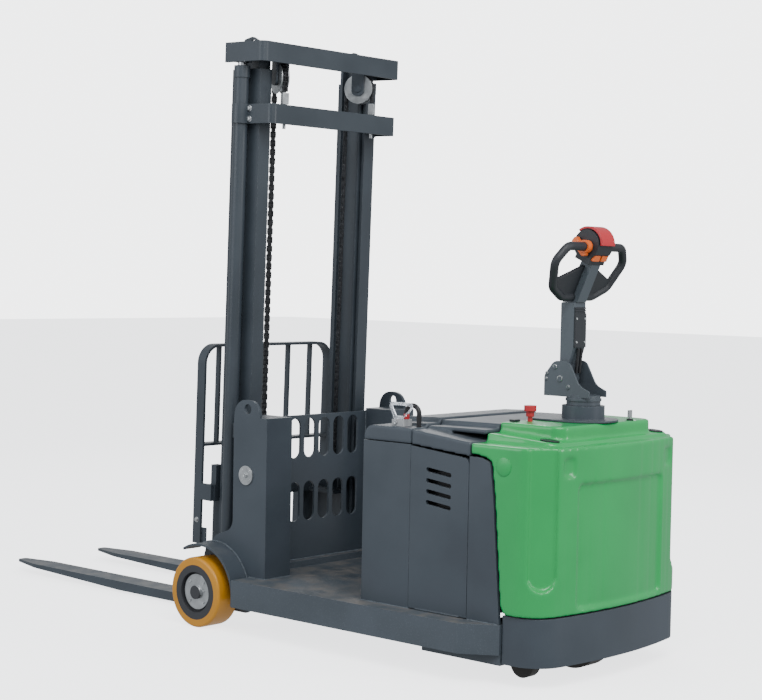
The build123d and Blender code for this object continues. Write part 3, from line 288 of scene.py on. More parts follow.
def build_tone_group():
    """Large soft patches and small specks, each from 0 to 1."""
    tree, entry, leave = new_group("tone", [("Patch Scale", 3.0), ("Speck Scale", 400.0)],
                                   [("Patches", "NodeSocketFloat"), ("Specks", "NodeSocketFloat")])
    place = add(tree, "ShaderNodeTexCoord")
    for label, detail, low, high in (("Patch", 4.0, 0.3, 0.7), ("Speck", 2.0, 0.55, 0.75)):
        noise = add(tree, "ShaderNodeTexNoise", Detail=detail)
        tree.links.new(place.outputs["Object"], noise.inputs["Vector"])
        tree.links.new(entry.outputs[label + " Scale"], noise.inputs["Scale"])
        tree.links.new(ramp(tree, noise.outputs["Fac"], low, high),
                       leave.inputs["Patches" if label == "Patch" else "Specks"])
    return tree


def build_dust_group():
    """Dust on faces that look up, thicker where the noise is."""
    tree, entry, leave = new_group("dust", [("Amount", 0.5), ("Scale", 14.0)],
                                   [("Mask", "NodeSocketFloat")])
    geometry = add(tree, "ShaderNodeNewGeometry")
    split = add(tree, "ShaderNodeSeparateXYZ")
    tree.links.new(geometry.outputs["Normal"], split.inputs[0])
    place = add(tree, "ShaderNodeTexCoord")
    noise = add(tree, "ShaderNodeTexNoise", Detail=8.0, Roughness=0.65)
    tree.links.new(place.outputs["Object"], noise.inputs["Vector"])
    tree.links.new(entry.outputs["Scale"], noise.inputs["Scale"])
    up = ramp(tree, split.outputs["Z"], 0.55, 0.98)
    cloud = ramp(tree, noise.outputs["Fac"], 0.36, 0.72)
    mask = math_node(tree, "MULTIPLY", up, cloud)
    tree.links.new(math_node(tree, "MULTIPLY", mask, entry.outputs["Amount"], True),
                   leave.inputs["Mask"])
    return tree


def build_skin_group():
    """Height of a fine moulded or sprayed skin."""
    tree, entry, leave = new_group("skin", [("Scale", 900.0), ("Waves", 40.0), ("Wave Share", 0.3)],
                                   [("Height", "NodeSocketFloat")])
    place = add(tree, "ShaderNodeTexCoord")
    heights = []
    for label in ("Scale", "Waves"):
        noise = add(tree, "ShaderNodeTexNoise", Detail=3.0)
        tree.links.new(place.outputs["Object"], noise.inputs["Vector"])
        tree.links.new(entry.outputs[label], noise.inputs["Scale"])
        heights.append(noise.outputs["Fac"])
    waves = math_node(tree, "MULTIPLY", heights[1], entry.outputs["Wave Share"])
    tree.links.new(math_node(tree, "ADD", heights[0], waves), leave.inputs["Height"])
    return tree


EDGE, TONE, DUST, SKIN = (build_edge_group(), build_tone_group(), build_dust_group(),
                          build_skin_group())


def use_group(tree, group, **values):
    node = add(tree, "ShaderNodeGroup", node_tree=group)
    for key, value in values.items():
        node.inputs[key.replace("_", " ")].default_value = value
    return node


print("groups", [group.name for group in (EDGE, TONE, DUST, SKIN)])

# %% [markdown]
# ## One recipe, many finishes
# Every finish here is a base colour that drifts a little, an edge tone, some
# dust and a bumpy skin. The recipe takes those as numbers. Rounded edges on the
# frame's parts come from a Bevel node in the normal, which catches light the
# way a ground or moulded edge does without touching the mesh.

# %% Finish recipe
def finish(name, colour, rough=0.5, metal=0.0, edge=None, edge_share=0.5, drift=0.12,
           dust=0.0, dust_colour=(0.42, 0.38, 0.33), skin=900.0, waves=40.0, wave_share=0.3,
           bump=0.05, depth=0.0003, radius=0.002, speck=0.0, speck_scale=420.0, coat=0.0,
           patch_scale=3.5, rough_drift=0.12):
    material = bpy.data.materials.new(name)
    material.use_nodes = True
    tree = material.node_tree
    shader = tree.nodes["Principled BSDF"]
    shader.inputs["Metallic"].default_value = metal
    if coat:
        shader.inputs["Coat Weight"].default_value = coat
        shader.inputs["Coat Roughness"].default_value = 0.12
    tone = use_group(tree, TONE, Patch_Scale=patch_scale, Speck_Scale=speck_scale)
    dark = tuple(c * (1 - drift) for c in colour)
    light = tuple(min(1.0, c * (1 + drift)) for c in colour)
    shade = mix_colour(tree, tone.outputs["Patches"], dark, light)
    if speck:
        flecks = math_node(tree, "MULTIPLY", tone.outputs["Specks"], speck)
        shade = mix_colour(tree, flecks, shade, tuple(min(1, c * 2.2 + 0.05) for c in colour))
    worn = use_group(tree, EDGE, Radius=radius, Break_Up=35.0)
    if edge is not None:
        share = math_node(tree, "MULTIPLY", worn.outputs["Mask"], edge_share)
        shade = mix_colour(tree, share, shade, edge)
    roughness = ramp(tree, tone.outputs["Patches"], 0.0, 1.0, rough - rough_drift / 2,
                     rough + rough_drift / 2)
    if dust:
        settled = use_group(tree, DUST, Amount=dust)
        shade = mix_colour(tree, settled.outputs["Mask"], shade, dust_colour)
        roughness = math_node(tree, "MAXIMUM", roughness,
                              math_node(tree, "MULTIPLY", settled.outputs["Mask"], 0.9))
    tree.links.new(shade, shader.inputs["Base Color"])
    tree.links.new(roughness, shader.inputs["Roughness"])
    surface = use_group(tree, SKIN, Scale=skin, Waves=waves, Wave_Share=wave_share)
    relief = add(tree, "ShaderNodeBump", Strength=bump, Distance=depth)
    tree.links.new(surface.outputs["Height"], relief.inputs["Height"])
    tree.links.new(worn.outputs["Normal"], relief.inputs["Normal"])
    tree.links.new(relief.outputs["Normal"], shader.inputs["Normal"])
    return material


STEEL_EDGE = (0.16, 0.18, 0.20)
finishes = {
    "frame_paint": finish("frame_paint", (0.050, 0.064, 0.080), 0.40, edge=STEEL_EDGE,
                          edge_share=0.55, dust=0.10, bump=0.22, waves=90, drift=0.10),
    "mast_paint": finish("mast_paint", (0.038, 0.049, 0.061), 0.40, edge=STEEL_EDGE,
                         edge_share=0.5, dust=0.12, bump=0.22, waves=70, drift=0.13),
    "fork_paint": finish("fork_paint", (0.050, 0.064, 0.080), 0.42, edge=(0.30, 0.32, 0.33),
                         edge_share=0.7, dust=0.30, bump=0.25, drift=0.16),
    "deck_paint": finish("deck_paint", (0.062, 0.078, 0.095), 0.48, edge=STEEL_EDGE,
                         edge_share=0.5, dust=0.75, dust_colour=(0.17, 0.155, 0.14), speck=0.22,
                         speck_scale=260, bump=0.5, waves=120, wave_share=0.6),
    "cover_grey": finish("cover_grey", (0.052, 0.066, 0.082), 0.44, edge=(0.15, 0.17, 0.19),
                         edge_share=0.4, dust=0.10, bump=0.35, skin=1500, radius=0.004),
    "hood_green": finish("hood_green", (0.003, 0.390, 0.085), 0.34, edge=(0.05, 0.50, 0.17),
                         edge_share=0.25, bump=0.10, waves=28, wave_share=1.2, coat=0.45,
                         radius=0.006, drift=0.06, rough_drift=0.08),
    "amber_tyre": finish("amber_tyre", (0.58, 0.25, 0.012), 0.36, bump=0.15, drift=0.10,
                         edge=(0.42, 0.14, 0.01), edge_share=0.5, speck=0.04, coat=0.15),
    "hub_black": finish("hub_black", (0.035, 0.037, 0.042), 0.50, edge=(0.10, 0.10, 0.11),
                        dust=0.15, bump=0.3),
    "zinc": finish("zinc", (0.50, 0.52, 0.53), 0.34, metal=0.85, edge=(0.70, 0.71, 0.72),
                   drift=0.14, bump=0.2, speck=0.10, speck_scale=160, patch_scale=30),
    "chrome_rod": finish("chrome_rod", (0.62, 0.63, 0.65), 0.10, metal=1.0, drift=0.04,
                         bump=0.03, rough_drift=0.05),
    "chain_steel": finish("chain_steel", (0.030, 0.032, 0.036), 0.36, metal=0.6,
                          edge=(0.20, 0.21, 0.22), edge_share=0.8, bump=0.2, drift=0.3,
                          patch_scale=60, radius=0.0008),
    "tiller_grey": finish("tiller_grey", (0.070, 0.086, 0.102), 0.42, edge=STEEL_EDGE,
                          edge_share=0.4, bump=0.3, radius=0.002),
    "tiller_black": finish("tiller_black", (0.018, 0.021, 0.026), 0.46, edge=(0.05, 0.055, 0.06),
                           edge_share=0.5, bump=0.45, skin=1400, radius=0.003),
    "red_plastic": finish("red_plastic", (0.50, 0.022, 0.030), 0.36, edge=(0.62, 0.10, 0.11),
                          edge_share=0.4, bump=0.12, drift=0.08, radius=0.003),
    "orange_plastic": finish("orange_plastic", (0.82, 0.145, 0.018), 0.34,
                             edge=(0.9, 0.30, 0.10), edge_share=0.4, bump=0.10, drift=0.06,
                             radius=0.003),
    "plug_grey": finish("plug_grey", (0.36, 0.37, 0.38), 0.45, edge=(0.5, 0.5, 0.5), bump=0.3),
    "cable_black": finish("cable_black", (0.012, 0.012, 0.014), 0.42, bump=0.25, skin=700),
    "battery_case": finish("battery_case", (0.022, 0.022, 0.025), 0.5, bump=0.4),
    "drive_rubber": finish("drive_rubber", (0.028, 0.025, 0.022), 0.62, edge=(0.08, 0.07, 0.06),
                           dust=0.2, bump=0.5, speck=0.08),
    "motor_black": finish("motor_black", (0.020, 0.021, 0.024), 0.46, bump=0.3, dust=0.1),
    "weld": finish("weld", (0.085, 0.104, 0.124), 0.36, edge=(0.20, 0.22, 0.24), bump=0.3,
                   drift=0.2, patch_scale=50),
    "button_white": finish("button_white", (0.78, 0.79, 0.80), 0.35, bump=0.1, drift=0.03),
}
print("finishes", len(finishes))

# %% [markdown]
# ## Clear plastic
# The plug's pull handle is clear. Glass keeps a plain transmission weight on the
# shader itself; only its roughness varies, so fine scuffs scatter the light.

# %% Clear plastic
def clear_plastic():
    material = bpy.data.materials.new("clear_plastic")
    material.use_nodes = True
    tree = material.node_tree
    shader = tree.nodes["Principled BSDF"]
    shader.inputs["Base Color"].default_value = (0.86, 0.89, 0.94, 1)
    shader.inputs["Transmission Weight"].default_value = 0.85
    shader.inputs["IOR"].default_value = 1.45
    tone = use_group(tree, TONE, Patch_Scale=40.0)
    tree.links.new(ramp(tree, tone.outputs["Patches"], 0, 1, 0.08, 0.3),
                   shader.inputs["Roughness"])
    return material


finishes["clear_plastic"] = clear_plastic()

# %% [markdown]
# ## Painting the frame's own parts
# The record names a material slot for each part, and a finish has the same name.
# The forks and the deck wear differently, so they have finishes of their own.

# %% Finishes on the frame's own parts
SPECIAL = {"left_fork": "fork_paint", "right_fork": "fork_paint", "base_frame": "deck_paint"}
slot_of = {part["node"]: part["material_slot"] for part in record["subparts"]}


def paint(piece, name):
    piece.data.materials.clear()
    piece.data.materials.append(finishes[name])


for node, piece in nodes.items():
    paint(piece, SPECIAL.get(node, slot_of[node]))
print("painted", len(nodes))

# %% [markdown]
# ## Shaping tools
# New pieces are modelled the way they are by hand: add a primitive, extrude,
# inset or bevel it, then apply the result. These helpers do the parts of that
# work which every piece needs: start with nothing selected, name the piece, put
# its place into its mesh, and let it ride on the body that carries it.

# %% Modelling helpers
def settle(piece, body, finish_name, smooth=35.0):
    """Put the piece's place in its mesh, smooth it, paint it and let it ride."""
    deselect(action="DESELECT")
    piece.select_set(True)
    bpy.context.view_layer.objects.active = piece
    bpy.ops.object.transform_apply(location=True, rotation=True, scale=True)
    if smooth:
        bpy.ops.object.shade_smooth_by_angle(angle=math.radians(smooth))
    if piece.data.materials:
        piece.data.materials.clear()
    piece.data.materials.append(finishes[finish_name])
    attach(piece, body)
    return piece


def modifier(piece, kind, **settings):
    """Add a modifier with its settings and apply it."""
    deselect(action="DESELECT")
    piece.select_set(True)
    bpy.context.view_layer.objects.active = piece
    step = piece.modifiers.new(kind.lower(), kind)
    for key, value in settings.items():
        setattr(step, key, value)
    bpy.ops.object.modifier_apply(modifier=step.name)


def joined_pieces(name, pieces):
    deselect(action="DESELECT")
    for piece in pieces:
        piece.select_set(True)
    bpy.context.view_layer.objects.active = pieces[0]
    bpy.ops.object.join()
    pieces[0].name = name
    return pieces[0]


def copy_of(piece):
    twin = piece.copy()
    twin.data = piece.data.copy()
    scene.collection.objects.link(twin)
    return twin


def turned(piece, axis, place):
    """Point a piece that was modelled along +Z at the origin along an axis, at a place."""
    turn = Vector(axis).normalized().to_track_quat("Z", "Y").to_matrix().to_4x4()
    piece.data.transform(Matrix.Translation(place) @ turn)
    return piece


def edit(piece):
    deselect(action="DESELECT")
    bpy.context.view_layer.objects.active = piece
    bpy.ops.object.mode_set(mode="EDIT")
    bpy.ops.mesh.select_all(action="DESELECT")
    mesh = bmesh.from_edit_mesh(piece.data)
    mesh.faces.ensure_lookup_table()
    return mesh


def leave_edit():
    bpy.ops.object.mode_set(mode="OBJECT")


def pick_faces(piece, test):
    """Go into edit mode with only the faces that pass the test selected."""
    mesh = edit(piece)
    bpy.ops.mesh.select_mode(type="FACE")
    for face in mesh.faces:
        face.select_set(test(face))
    bmesh.update_edit_mesh(piece.data)


print("tools ready")

# %% [markdown]
# ## Screws and bolts
# Zinc screws hold the tiller's cover, the cheeks, the hubs and the mast clamps.
# A cylinder alone looks like a coin, so its face is inset, raised, inset again and
# pushed in, which leaves a sloping rim round a round recess. A hexagon bolt is a
# bevelled washer with a six-sided head on it.

# %% Screws
def socket_screw(radius, height, sides=24):
    deselect(action="DESELECT")
    bpy.ops.mesh.primitive_cylinder_add(vertices=sides, radius=radius, depth=height,
                                        location=(0, 0, height / 2))
    screw = bpy.context.object
    pick_faces(screw, lambda f: f.normal.z > 0.9)
    bpy.ops.mesh.inset(thickness=radius * 0.16)
    bpy.ops.transform.translate(value=(0, 0, height * 0.18))
    bpy.ops.mesh.inset(thickness=radius * 0.36)
    bpy.ops.transform.translate(value=(0, 0, -height * 0.5))
    leave_edit()
    screw.data.transform(Matrix.Scale(1 / 1.18, 4, (0, 0, 1)))
    return screw


def hex_bolt(radius, height):
    """Hexagon head on a round washer."""
    deselect(action="DESELECT")
    bpy.ops.mesh.primitive_cylinder_add(vertices=28, radius=radius * 1.35, depth=height * 0.25,
                                        location=(0, 0, height * 0.125))
    washer = bpy.context.object
    modifier(washer, "BEVEL", width=radius * 0.08, segments=2)
    deselect(action="DESELECT")
    bpy.ops.mesh.primitive_cylinder_add(vertices=6, radius=radius, depth=height * 0.75,
                                        location=(0, 0, height * 0.625))
    head = bpy.context.object
    pick_faces(head, lambda f: f.normal.z > 0.9)
    bpy.ops.mesh.inset(thickness=radius * 0.2)
    bpy.ops.transform.translate(value=(0, 0, height * 0.06))
    leave_edit()
    modifier(head, "BEVEL", width=radius * 0.06, segments=2)
    return joined_pieces("bolt", [washer, head])


def spread(name, model, places, body, finish_name="zinc"):
    """Copies of one small model at (place, axis), joined into one piece that rides."""
    twins = []
    for place, axis in places:
        twins.append(turned(copy_of(model), axis, place))
    bpy.data.objects.remove(model)
    return settle(joined_pieces(name, twins), body, finish_name)


def mid(node):
    low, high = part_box(node)
    return (low + high) / 2


print("screw helpers ready")

# %% [markdown]
# ## Moulded covers
# The drive hood, the battery lid and the front cover are moulded plastic: every
# edge has a generous radius, and the steps in their tops run into each other.
# Rounding each edge by itself is slow, so the covers are copied, cleaned, rebuilt
# as an even grid of small faces and then relaxed. Relaxing rounds every edge and
# hardly moves the broad faces.

# %% Moulded covers
def moulded_copy(node, voxel, rounds, name, finish_name, body):
    """A softened copy of one of the frame's covers, which it replaces."""
    cover = copy_of(nodes[node])
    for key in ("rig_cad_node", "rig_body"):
        if key in cover:
            del cover[key]
    cover.parent = None
    cover.name = name
    deselect(action="DESELECT")
    edit(cover)
    bpy.ops.mesh.select_all(action="SELECT")
    bpy.ops.mesh.remove_doubles(threshold=0.00002)
    leave_edit()
    modifier(cover, "REMESH", mode="VOXEL", voxel_size=voxel, use_smooth_shade=True)
    modifier(cover, "SMOOTH", factor=0.5, iterations=rounds)
    settle(cover, body, finish_name, smooth=0)
    for face in cover.data.polygons:
        face.use_smooth = True
    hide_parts(node)
    print(name, "triangles", 2 * len(cover.data.polygons))


HOOD_GRID = 0.0052
COVER_GRID = 0.0040
HOOD_ROUNDS = 9
COVER_ROUNDS = 5
moulded_copy("rear_hood", HOOD_GRID, HOOD_ROUNDS, "hood_shell", "hood_green", "chassis")
moulded_copy("battery_lid", COVER_GRID, COVER_ROUNDS, "lid_shell", "cover_grey", "lid")
moulded_copy("front_top_cover", COVER_GRID, COVER_ROUNDS, "front_shell", "cover_grey", "chassis")

# %% [markdown]
# ## The hood's disc, and lenses on the thumb buttons
# A shallow round pad is moulded on each side of the hood, and a white lens lies
# on each thumb button. The pads are bevelled discs and the lenses bevelled slabs.

# %% Pads and lenses
def slab(size, place, bevel, turn=None):
    deselect(action="DESELECT")
    bpy.ops.mesh.primitive_cube_add(size=1, location=(0, 0, 0))
    piece = bpy.context.object
    piece.data.transform(Matrix.Diagonal((*size, 1)))
    modifier(piece, "BEVEL", width=bevel, segments=3)
    piece.data.transform(Matrix.Translation(place) @ (turn or Matrix.Identity(4)))
    return piece


def disc(radius, thickness, bevel, sides=64):
    """Round plate along +Z from the origin, with bevelled rims."""
    deselect(action="DESELECT")
    bpy.ops.mesh.primitive_cylinder_add(vertices=sides, radius=radius, depth=thickness,
                                        location=(0, 0, thickness / 2))
    piece = bpy.context.object
    modifier(piece, "BEVEL", width=bevel, segments=3, limit_method="ANGLE",
             angle_limit=math.radians(50))
    return piece


hood_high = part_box("rear_hood")[1]
PAD_X, PAD_Z = hood_high.x - 0.133, 0.681
PAD_R, PAD_T, PAD_BEVEL = 0.030, 0.0022, 0.0009
PAD_SUNK = 0.0008
for side, name in ((1, "left"), (-1, "right")):
    pad = turned(disc(PAD_R, PAD_T, PAD_BEVEL), (0, side, 0),
                 Vector((PAD_X, side * (hood_high.y - PAD_SUNK), PAD_Z)))
    pad.name = name + "_hood_pad"
    settle(pad, "chassis", "hood_green")

BUTTON_AXIS = Vector((0.9135, 0, 0.4067))
LENS_SIZE = (0.0022, 0.026, 0.013)
LENS_LIFT = 0.0062
LENS_BEVEL = 0.0009
button_turn = BUTTON_AXIS.to_track_quat("X", "Z").to_matrix().to_4x4()
for node, name in (("horn_button", "horn_lens"), ("lift_button", "lift_lens")):
    centre = mid(node) + BUTTON_AXIS * LENS_LIFT
    lens = slab(LENS_SIZE, centre, LENS_BEVEL, button_turn)
    lens.name = name
    settle(lens, node, "button_white")
print("pads and lenses done")

# %% [markdown]
# ## Load wheel hubs
# A zinc plate closes each load wheel. It has four screws round a bevelled cap, and
# a small lug. The plate is a disc whose face is inset and pushed in, which gives it
# a pressed rim that catches the light.

# %% Load wheel hubs
PLATE_R, PLATE_T, PLATE_INSET = 0.0632, 0.0030, 0.0110
CAP_R, CAP_T = 0.0245, 0.0108
HUB_SCREW_CIRCLE = 0.048


def hub_plate(side, name):
    low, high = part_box(name + "_load_hub")
    outer = high.y if side > 0 else low.y
    centre = Vector(((low.x + high.x) / 2, outer - side * PLATE_INSET, (low.z + high.z) / 2))
    plate = disc(PLATE_R, PLATE_T, 0.0008, 72)
    pick_faces(plate, lambda f: f.normal.z > 0.95 and f.calc_area() > 0.002)
    bpy.ops.mesh.inset(thickness=0.005)
    bpy.ops.transform.translate(value=(0, 0, -0.0012))
    bpy.ops.mesh.inset(thickness=0.030)
    bpy.ops.transform.translate(value=(0, 0, 0.0010))
    leave_edit()
    cap = disc(CAP_R, CAP_T, 0.0030, 48)
    lug = slab((0.012, 0.007, 0.004), (0.034, 0.006, 0.0040), 0.0012)
    parts = [plate, cap, lug]
    screw = socket_screw(0.0052, 0.0034)
    for quarter in range(4):
        twin = copy_of(screw)
        turn = math.radians(45 + 90 * quarter)
        twin.data.transform(Matrix.Translation((HUB_SCREW_CIRCLE * math.cos(turn),
                                                HUB_SCREW_CIRCLE * math.sin(turn), 0.0018)))
        parts.append(twin)
    bpy.data.objects.remove(screw)
    whole = turned(joined_pieces(name + "_hub_plate", parts), (0, side, 0), centre)
    settle(whole, name + "_load_wheel", "zinc")


hub_plate(1, "left")
hub_plate(-1, "right")
print("hub plates done")

# %% [markdown]
# ## Zinc screws where the frame is bolted together
# Screws are small, but they are what tells steel plate from a toy. Rows of screws
# start from a part's box or from a joint. How far each one stands from there is a
# typed size, and so are the places of the backrest bolts along and up.

# %% Screw places
def joint_place(name):
    return next(joint for joint in frame["joints"] if joint["name"] == name)["pos_m"]


cover_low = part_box("tiller_rear_cover")[0]
cover_spots = [(Vector((cover_low.x - 0.0002, y, z)), (-1, 0, 0))
               for y in (-0.023, 0.023) for z in (cover_low.z + 0.016, cover_low.z + 0.092)]
spread("cover_screws", socket_screw(0.0040, 0.0022), cover_spots, "tiller")

pivot = joint_place("tiller_tilt")
# Each is how far along and up from the pivot, then the radius.
CHEEK_BOLTS = ((0, 0, 0.0105), (0.020, 0.038, 0.0080), (-0.034, -0.026, 0.0068),
               (0.052, 0.016, 0.0058), (0.054, -0.002, 0.0058))
CHEEK_FACE = 0.050
for number, (dx, dz, radius) in enumerate(CHEEK_BOLTS):
    spots = [(Vector((pivot[0] + dx, side * CHEEK_FACE, pivot[2] + dz)), (0, side, 0))
             for side in (-1, 1)]
    spread(f"cheek_bolts_{number}", socket_screw(radius, 0.0052), spots, "steering")

tie_low, tie_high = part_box("tie_bar")
CLAMP_END = 0.018
CLAMP_FRONT_Y, CLAMP_SIDE_Y, CLAMP_SIDE_BACK = 0.317, 0.329, 0.0720
clamp_spots = []
for side in (-1, 1):
    for z in (tie_low.z + CLAMP_END, tie_high.z - CLAMP_END):
        clamp_spots.append((Vector((tie_high.x - 0.0004, side * CLAMP_FRONT_Y, z)), (1, 0, 0)))
        clamp_spots.append((Vector((tie_high.x - CLAMP_SIDE_BACK, side * CLAMP_SIDE_Y, z)),
                            (0, side, 0)))
spread("clamp_bolts", hex_bolt(0.0085, 0.0075), clamp_spots, "outer_mast")

TILT_PIN = joint_place("tilt_barrel_swing")
DIMPLE_CIRCLE, DIMPLE_Y = 0.024, 0.3948
PIN_SCREW_Y = 0.4005
dimples = []
for side in (-1, 1):
    for quarter in range(4):
        turn = math.radians(45 + 90 * quarter)
        dimples.append((Vector((TILT_PIN[0] + DIMPLE_CIRCLE * math.cos(turn), side * DIMPLE_Y,
                                TILT_PIN[2] + DIMPLE_CIRCLE * math.sin(turn))), (0, side, 0)))
spread("pin_disc_dimples", socket_screw(0.0040, 0.0016, 16), dimples, "chassis")
spread("pin_disc_screws", socket_screw(0.0075, 0.0045),
       [(Vector((TILT_PIN[0], side * PIN_SCREW_Y, TILT_PIN[2])), (0, side, 0))
        for side in (-1, 1)],
       "chassis")

rest_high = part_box("backrest")[1]
UPRIGHT_X, REST_BOLT_Z = 0.2190, 0.352
rest_spots = [(Vector((UPRIGHT_X, side * (rest_high.y - 0.0002), REST_BOLT_Z)), (0, side, 0))
              for side in (-1, 1)]
spread("backrest_bolts", hex_bolt(0.0075, 0.0060), rest_spots, "carriage")
print("screws done")

# %% [markdown]
# ## Welds
# A weld bead is a row of overlapping ripples. One flattened ball is modelled
# once and repeated close together along each joint, so the bead follows the
# seam and keeps the small scallops that light picks out.

# %% Weld beads
def scatter(name, model, matrices):
    """One mesh made of many copies of a small model."""
    mesh = bmesh.new()
    for matrix in matrices:
        twin = model.data.copy()
        twin.transform(matrix)
        mesh.from_mesh(twin)
        bpy.data.meshes.remove(twin)
    data = bpy.data.meshes.new(name)
    mesh.to_mesh(data)
    mesh.free()
    piece = bpy.data.objects.new(name, data)
    scene.collection.objects.link(piece)
    bpy.data.objects.remove(model)
    return piece


def weld(name, runs, body, radius=0.0034, pitch=0.0042):
    deselect(action="DESELECT")
    bpy.ops.mesh.primitive_uv_sphere_add(segments=8, ring_count=6, radius=radius)
    ripple = bpy.context.object
    ripple.data.transform(Matrix.Diagonal((0.85, 1.0, 0.8, 1)))
    matrices = []
    for start, end in runs:
        start, end = Vector(start), Vector(end)
        along = end - start
        turn = along.to_track_quat("X", "Z").to_matrix().to_4x4()
        count = max(2, round(along.length / pitch))
        for step in range(count + 1):
            wobble = 1 + 0.12 * math.sin(2.4 * step) + 0.08 * math.sin(0.7 * step)
            matrices.append(Matrix.Translation(start + along * step / count) @ turn
                            @ Matrix.Scale(wobble, 4))
    return settle(scatter(name, ripple, matrices), body, "weld", smooth=80)


DECK_Z = 0.190
support_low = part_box("mast_supports")[0]
guard_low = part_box("guard_plate")[0]
housing_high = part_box("battery_housing")[1]
PLATE_Y = 0.390
BOX_Y = 0.266
HOUSING_Y = 0.411
BEAM_FRONT_X = -0.1228
SUPPORT_FRONT_X = -0.124
DOOR_ENDS_X = (-0.880, -1.128)
REAR_FOOT_X = -1.245
GUARD_LOW_Z, GUARD_TOP_Z = 0.215, 0.745
FENDER_R = 0.1735
ARC_STEPS = 16
axle = joint_place("left_load_wheel_spin")
runs = []
for side in (-1, 1):
    runs.append(((support_low.x, side * BOX_Y, DECK_Z), (support_low.x, side * PLATE_Y, DECK_Z)))
    runs.append(((support_low.x, side * PLATE_Y, DECK_Z),
                 (SUPPORT_FRONT_X, side * PLATE_Y, DECK_Z)))
    beam_y = side * (PLATE_Y + 0.002)
    runs.append(((BEAM_FRONT_X, beam_y, 0.100), (BEAM_FRONT_X, beam_y, DECK_Z)))
    runs.append(((guard_low.x, side * BOX_Y, GUARD_LOW_Z), (guard_low.x, side * BOX_Y, GUARD_TOP_Z)))
    runs.append(((housing_high.x, side * 0.30, DECK_Z), (housing_high.x, side * 0.408, DECK_Z)))
    housing_y = side * HOUSING_Y
    runs.append(((DOOR_ENDS_X[0], housing_y, DECK_Z), (housing_high.x, housing_y, DECK_Z)))
    runs.append(((REAR_FOOT_X, housing_y, DECK_Z), (DOOR_ENDS_X[1], housing_y, DECK_Z)))
    arc = [math.radians(60 + 120 * k / ARC_STEPS) for k in range(ARC_STEPS + 1)]
    points = [(axle[0] + FENDER_R * math.cos(a), side * (PLATE_Y + 0.001),
               axle[2] + FENDER_R * math.sin(a)) for a in arc]
    runs += list(zip(points, points[1:]))
runs.append(((guard_low.x - 0.002, -BOX_Y, 0.214), (guard_low.x - 0.002, BOX_Y, 0.214)))
weld("frame_welds", runs, "chassis")
print("weld runs", len(runs))

# %% [markdown]
# ## Leaf chains
# A leaf chain is stacked steel plates on pins. Two pitches are modelled, one with
# four plates and one with three, each with its pin. They alternate down each strand
# and round each pulley. The strand that runs to the carriage rides with the inner
# mast at one fixed length. A real chain keeps its length and runs over the pulley,
# so its strand shortens as the carriage climbs; this one does not.
# The short strand at the anchor stays with the outer mast. It does not lengthen when
# the mast rises, as a real one would, so it then no longer reaches the pulley.

# %% Leaf chains
PITCH = 0.015875
CHAIN_REACH = 0.0513
TOE = math.radians(23)
LEAN = math.radians(1.4)
PULLEY = Vector((-0.062, 0.210, 1.963))
SHIFT = Vector((axle[0], 0, 0))
STRAND_LENGTH = 1.483
ANCHOR_DROP = 0.055
AXLE_Z = 0.125
PLATE_SIZE = (0.0112, 0.0026, PITCH + 0.006)
WIDE_ROW = (-0.0084, -0.0028, 0.0028, 0.0084)
NARROW_ROW = (-0.0056, 0.0, 0.0056)
lean_matrix = (Matrix.Translation((0, 0, AXLE_Z)) @ Matrix.Rotation(-LEAN, 4, "Y")
               @ Matrix.Translation((0, 0, -AXLE_Z)))


def pulley_frame(side):
    place = Vector((PULLEY.x, side * PULLEY.y, PULLEY.z))
    return (Matrix.Translation(SHIFT) @ lean_matrix @ Matrix.Translation(place)
            @ Matrix.Rotation(-side * TOE, 4, "Z"))


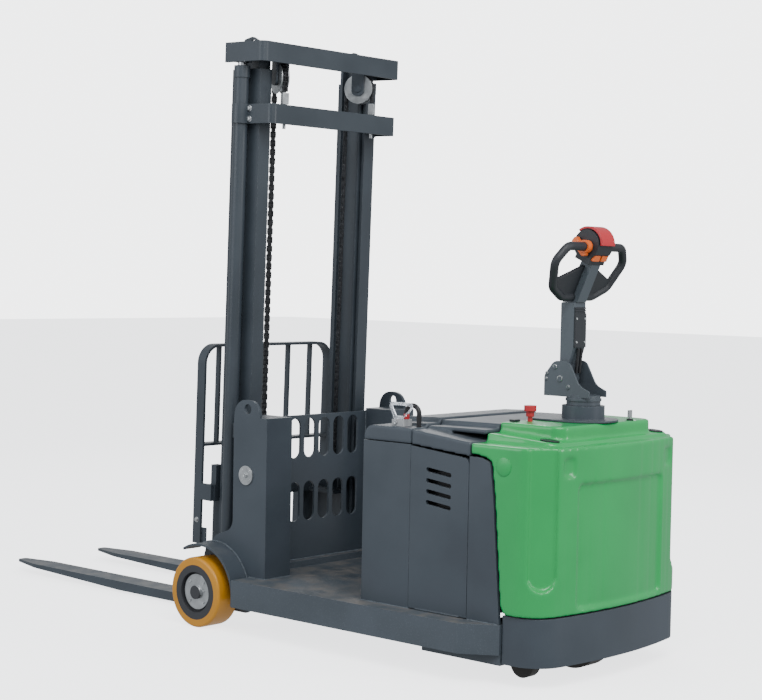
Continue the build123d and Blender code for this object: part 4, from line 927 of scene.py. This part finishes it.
def chain_pitch(offsets):
    """Plates at the given offsets across the chain, with one pin."""
    plates = [slab(PLATE_SIZE, (0, y, PITCH / 2), 0.0010) for y in offsets]
    deselect(action="DESELECT")
    bpy.ops.mesh.primitive_cylinder_add(vertices=10, radius=0.0028, depth=0.0205,
                                        rotation=(math.pi / 2, 0, 0))
    pin = bpy.context.object
    return joined_pieces("pitch", plates + [pin])


def chain(name, spots, frame_matrix, body):
    halves = []
    for odd, offsets in enumerate((WIDE_ROW, NARROW_ROW)):
        model = chain_pitch(offsets)
        matrices = [frame_matrix @ spot for spot in spots[odd::2]]
        halves.append(scatter(name + "_half", model, matrices))
    return settle(joined_pieces(name, halves), body, "chain_steel", smooth=40)


for side, name in ((1, "left"), (-1, "right")):
    place = pulley_frame(side)
    count = int(STRAND_LENGTH / PITCH)
    falling = [Matrix.Translation((CHAIN_REACH, 0, -PITCH * (step + 1))) for step in range(count)]
    strand = chain(name + "_carriage_chain", falling, place, "inner_mast")
    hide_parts("carriage_chains")
    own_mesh(strand)
    wrap = []
    arc_pitches = int(math.pi * CHAIN_REACH / PITCH) + 1
    for step in range(arc_pitches):
        turn = math.pi * step / arc_pitches
        wrap.append(Matrix.Rotation(-turn, 4, "Y") @ Matrix.Translation((CHAIN_REACH, 0, 0)))
    chain(name + "_pulley_chain", wrap, place, "inner_mast")
    short = [Matrix.Translation((-CHAIN_REACH, 0, -PITCH * (step + 1)))
             for step in range(int(ANCHOR_DROP / PITCH))]
    end = chain(name + "_anchor_chain", short, place, "outer_mast")
    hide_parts("anchor_chains")
print("chains done")

# %% [markdown]
# ## Battery plug
# The plug's cable wears a red sleeve, and a zinc screw sits on the plug's side.
# Both are made from cylinders.

# %% Battery plug
plug_low, plug_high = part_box("battery_connector")
cable_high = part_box("battery_cable")[1]
sleeve = disc(0.0096, 0.018, 0.0018, 32)
sleeve.data.transform(Matrix.Translation((cable_high.x - 0.008, mid("battery_cable").y,
                                          plug_high.z)))
sleeve.name = "cable_sleeve"
settle(sleeve, "chassis", "red_plastic")
spread("plug_screw", socket_screw(0.0062, 0.0030),
       [(Vector((plug_high.x - 0.018, plug_high.y, plug_low.z + 0.011)), (0, 1, 0))], "chassis")
print("plug done")
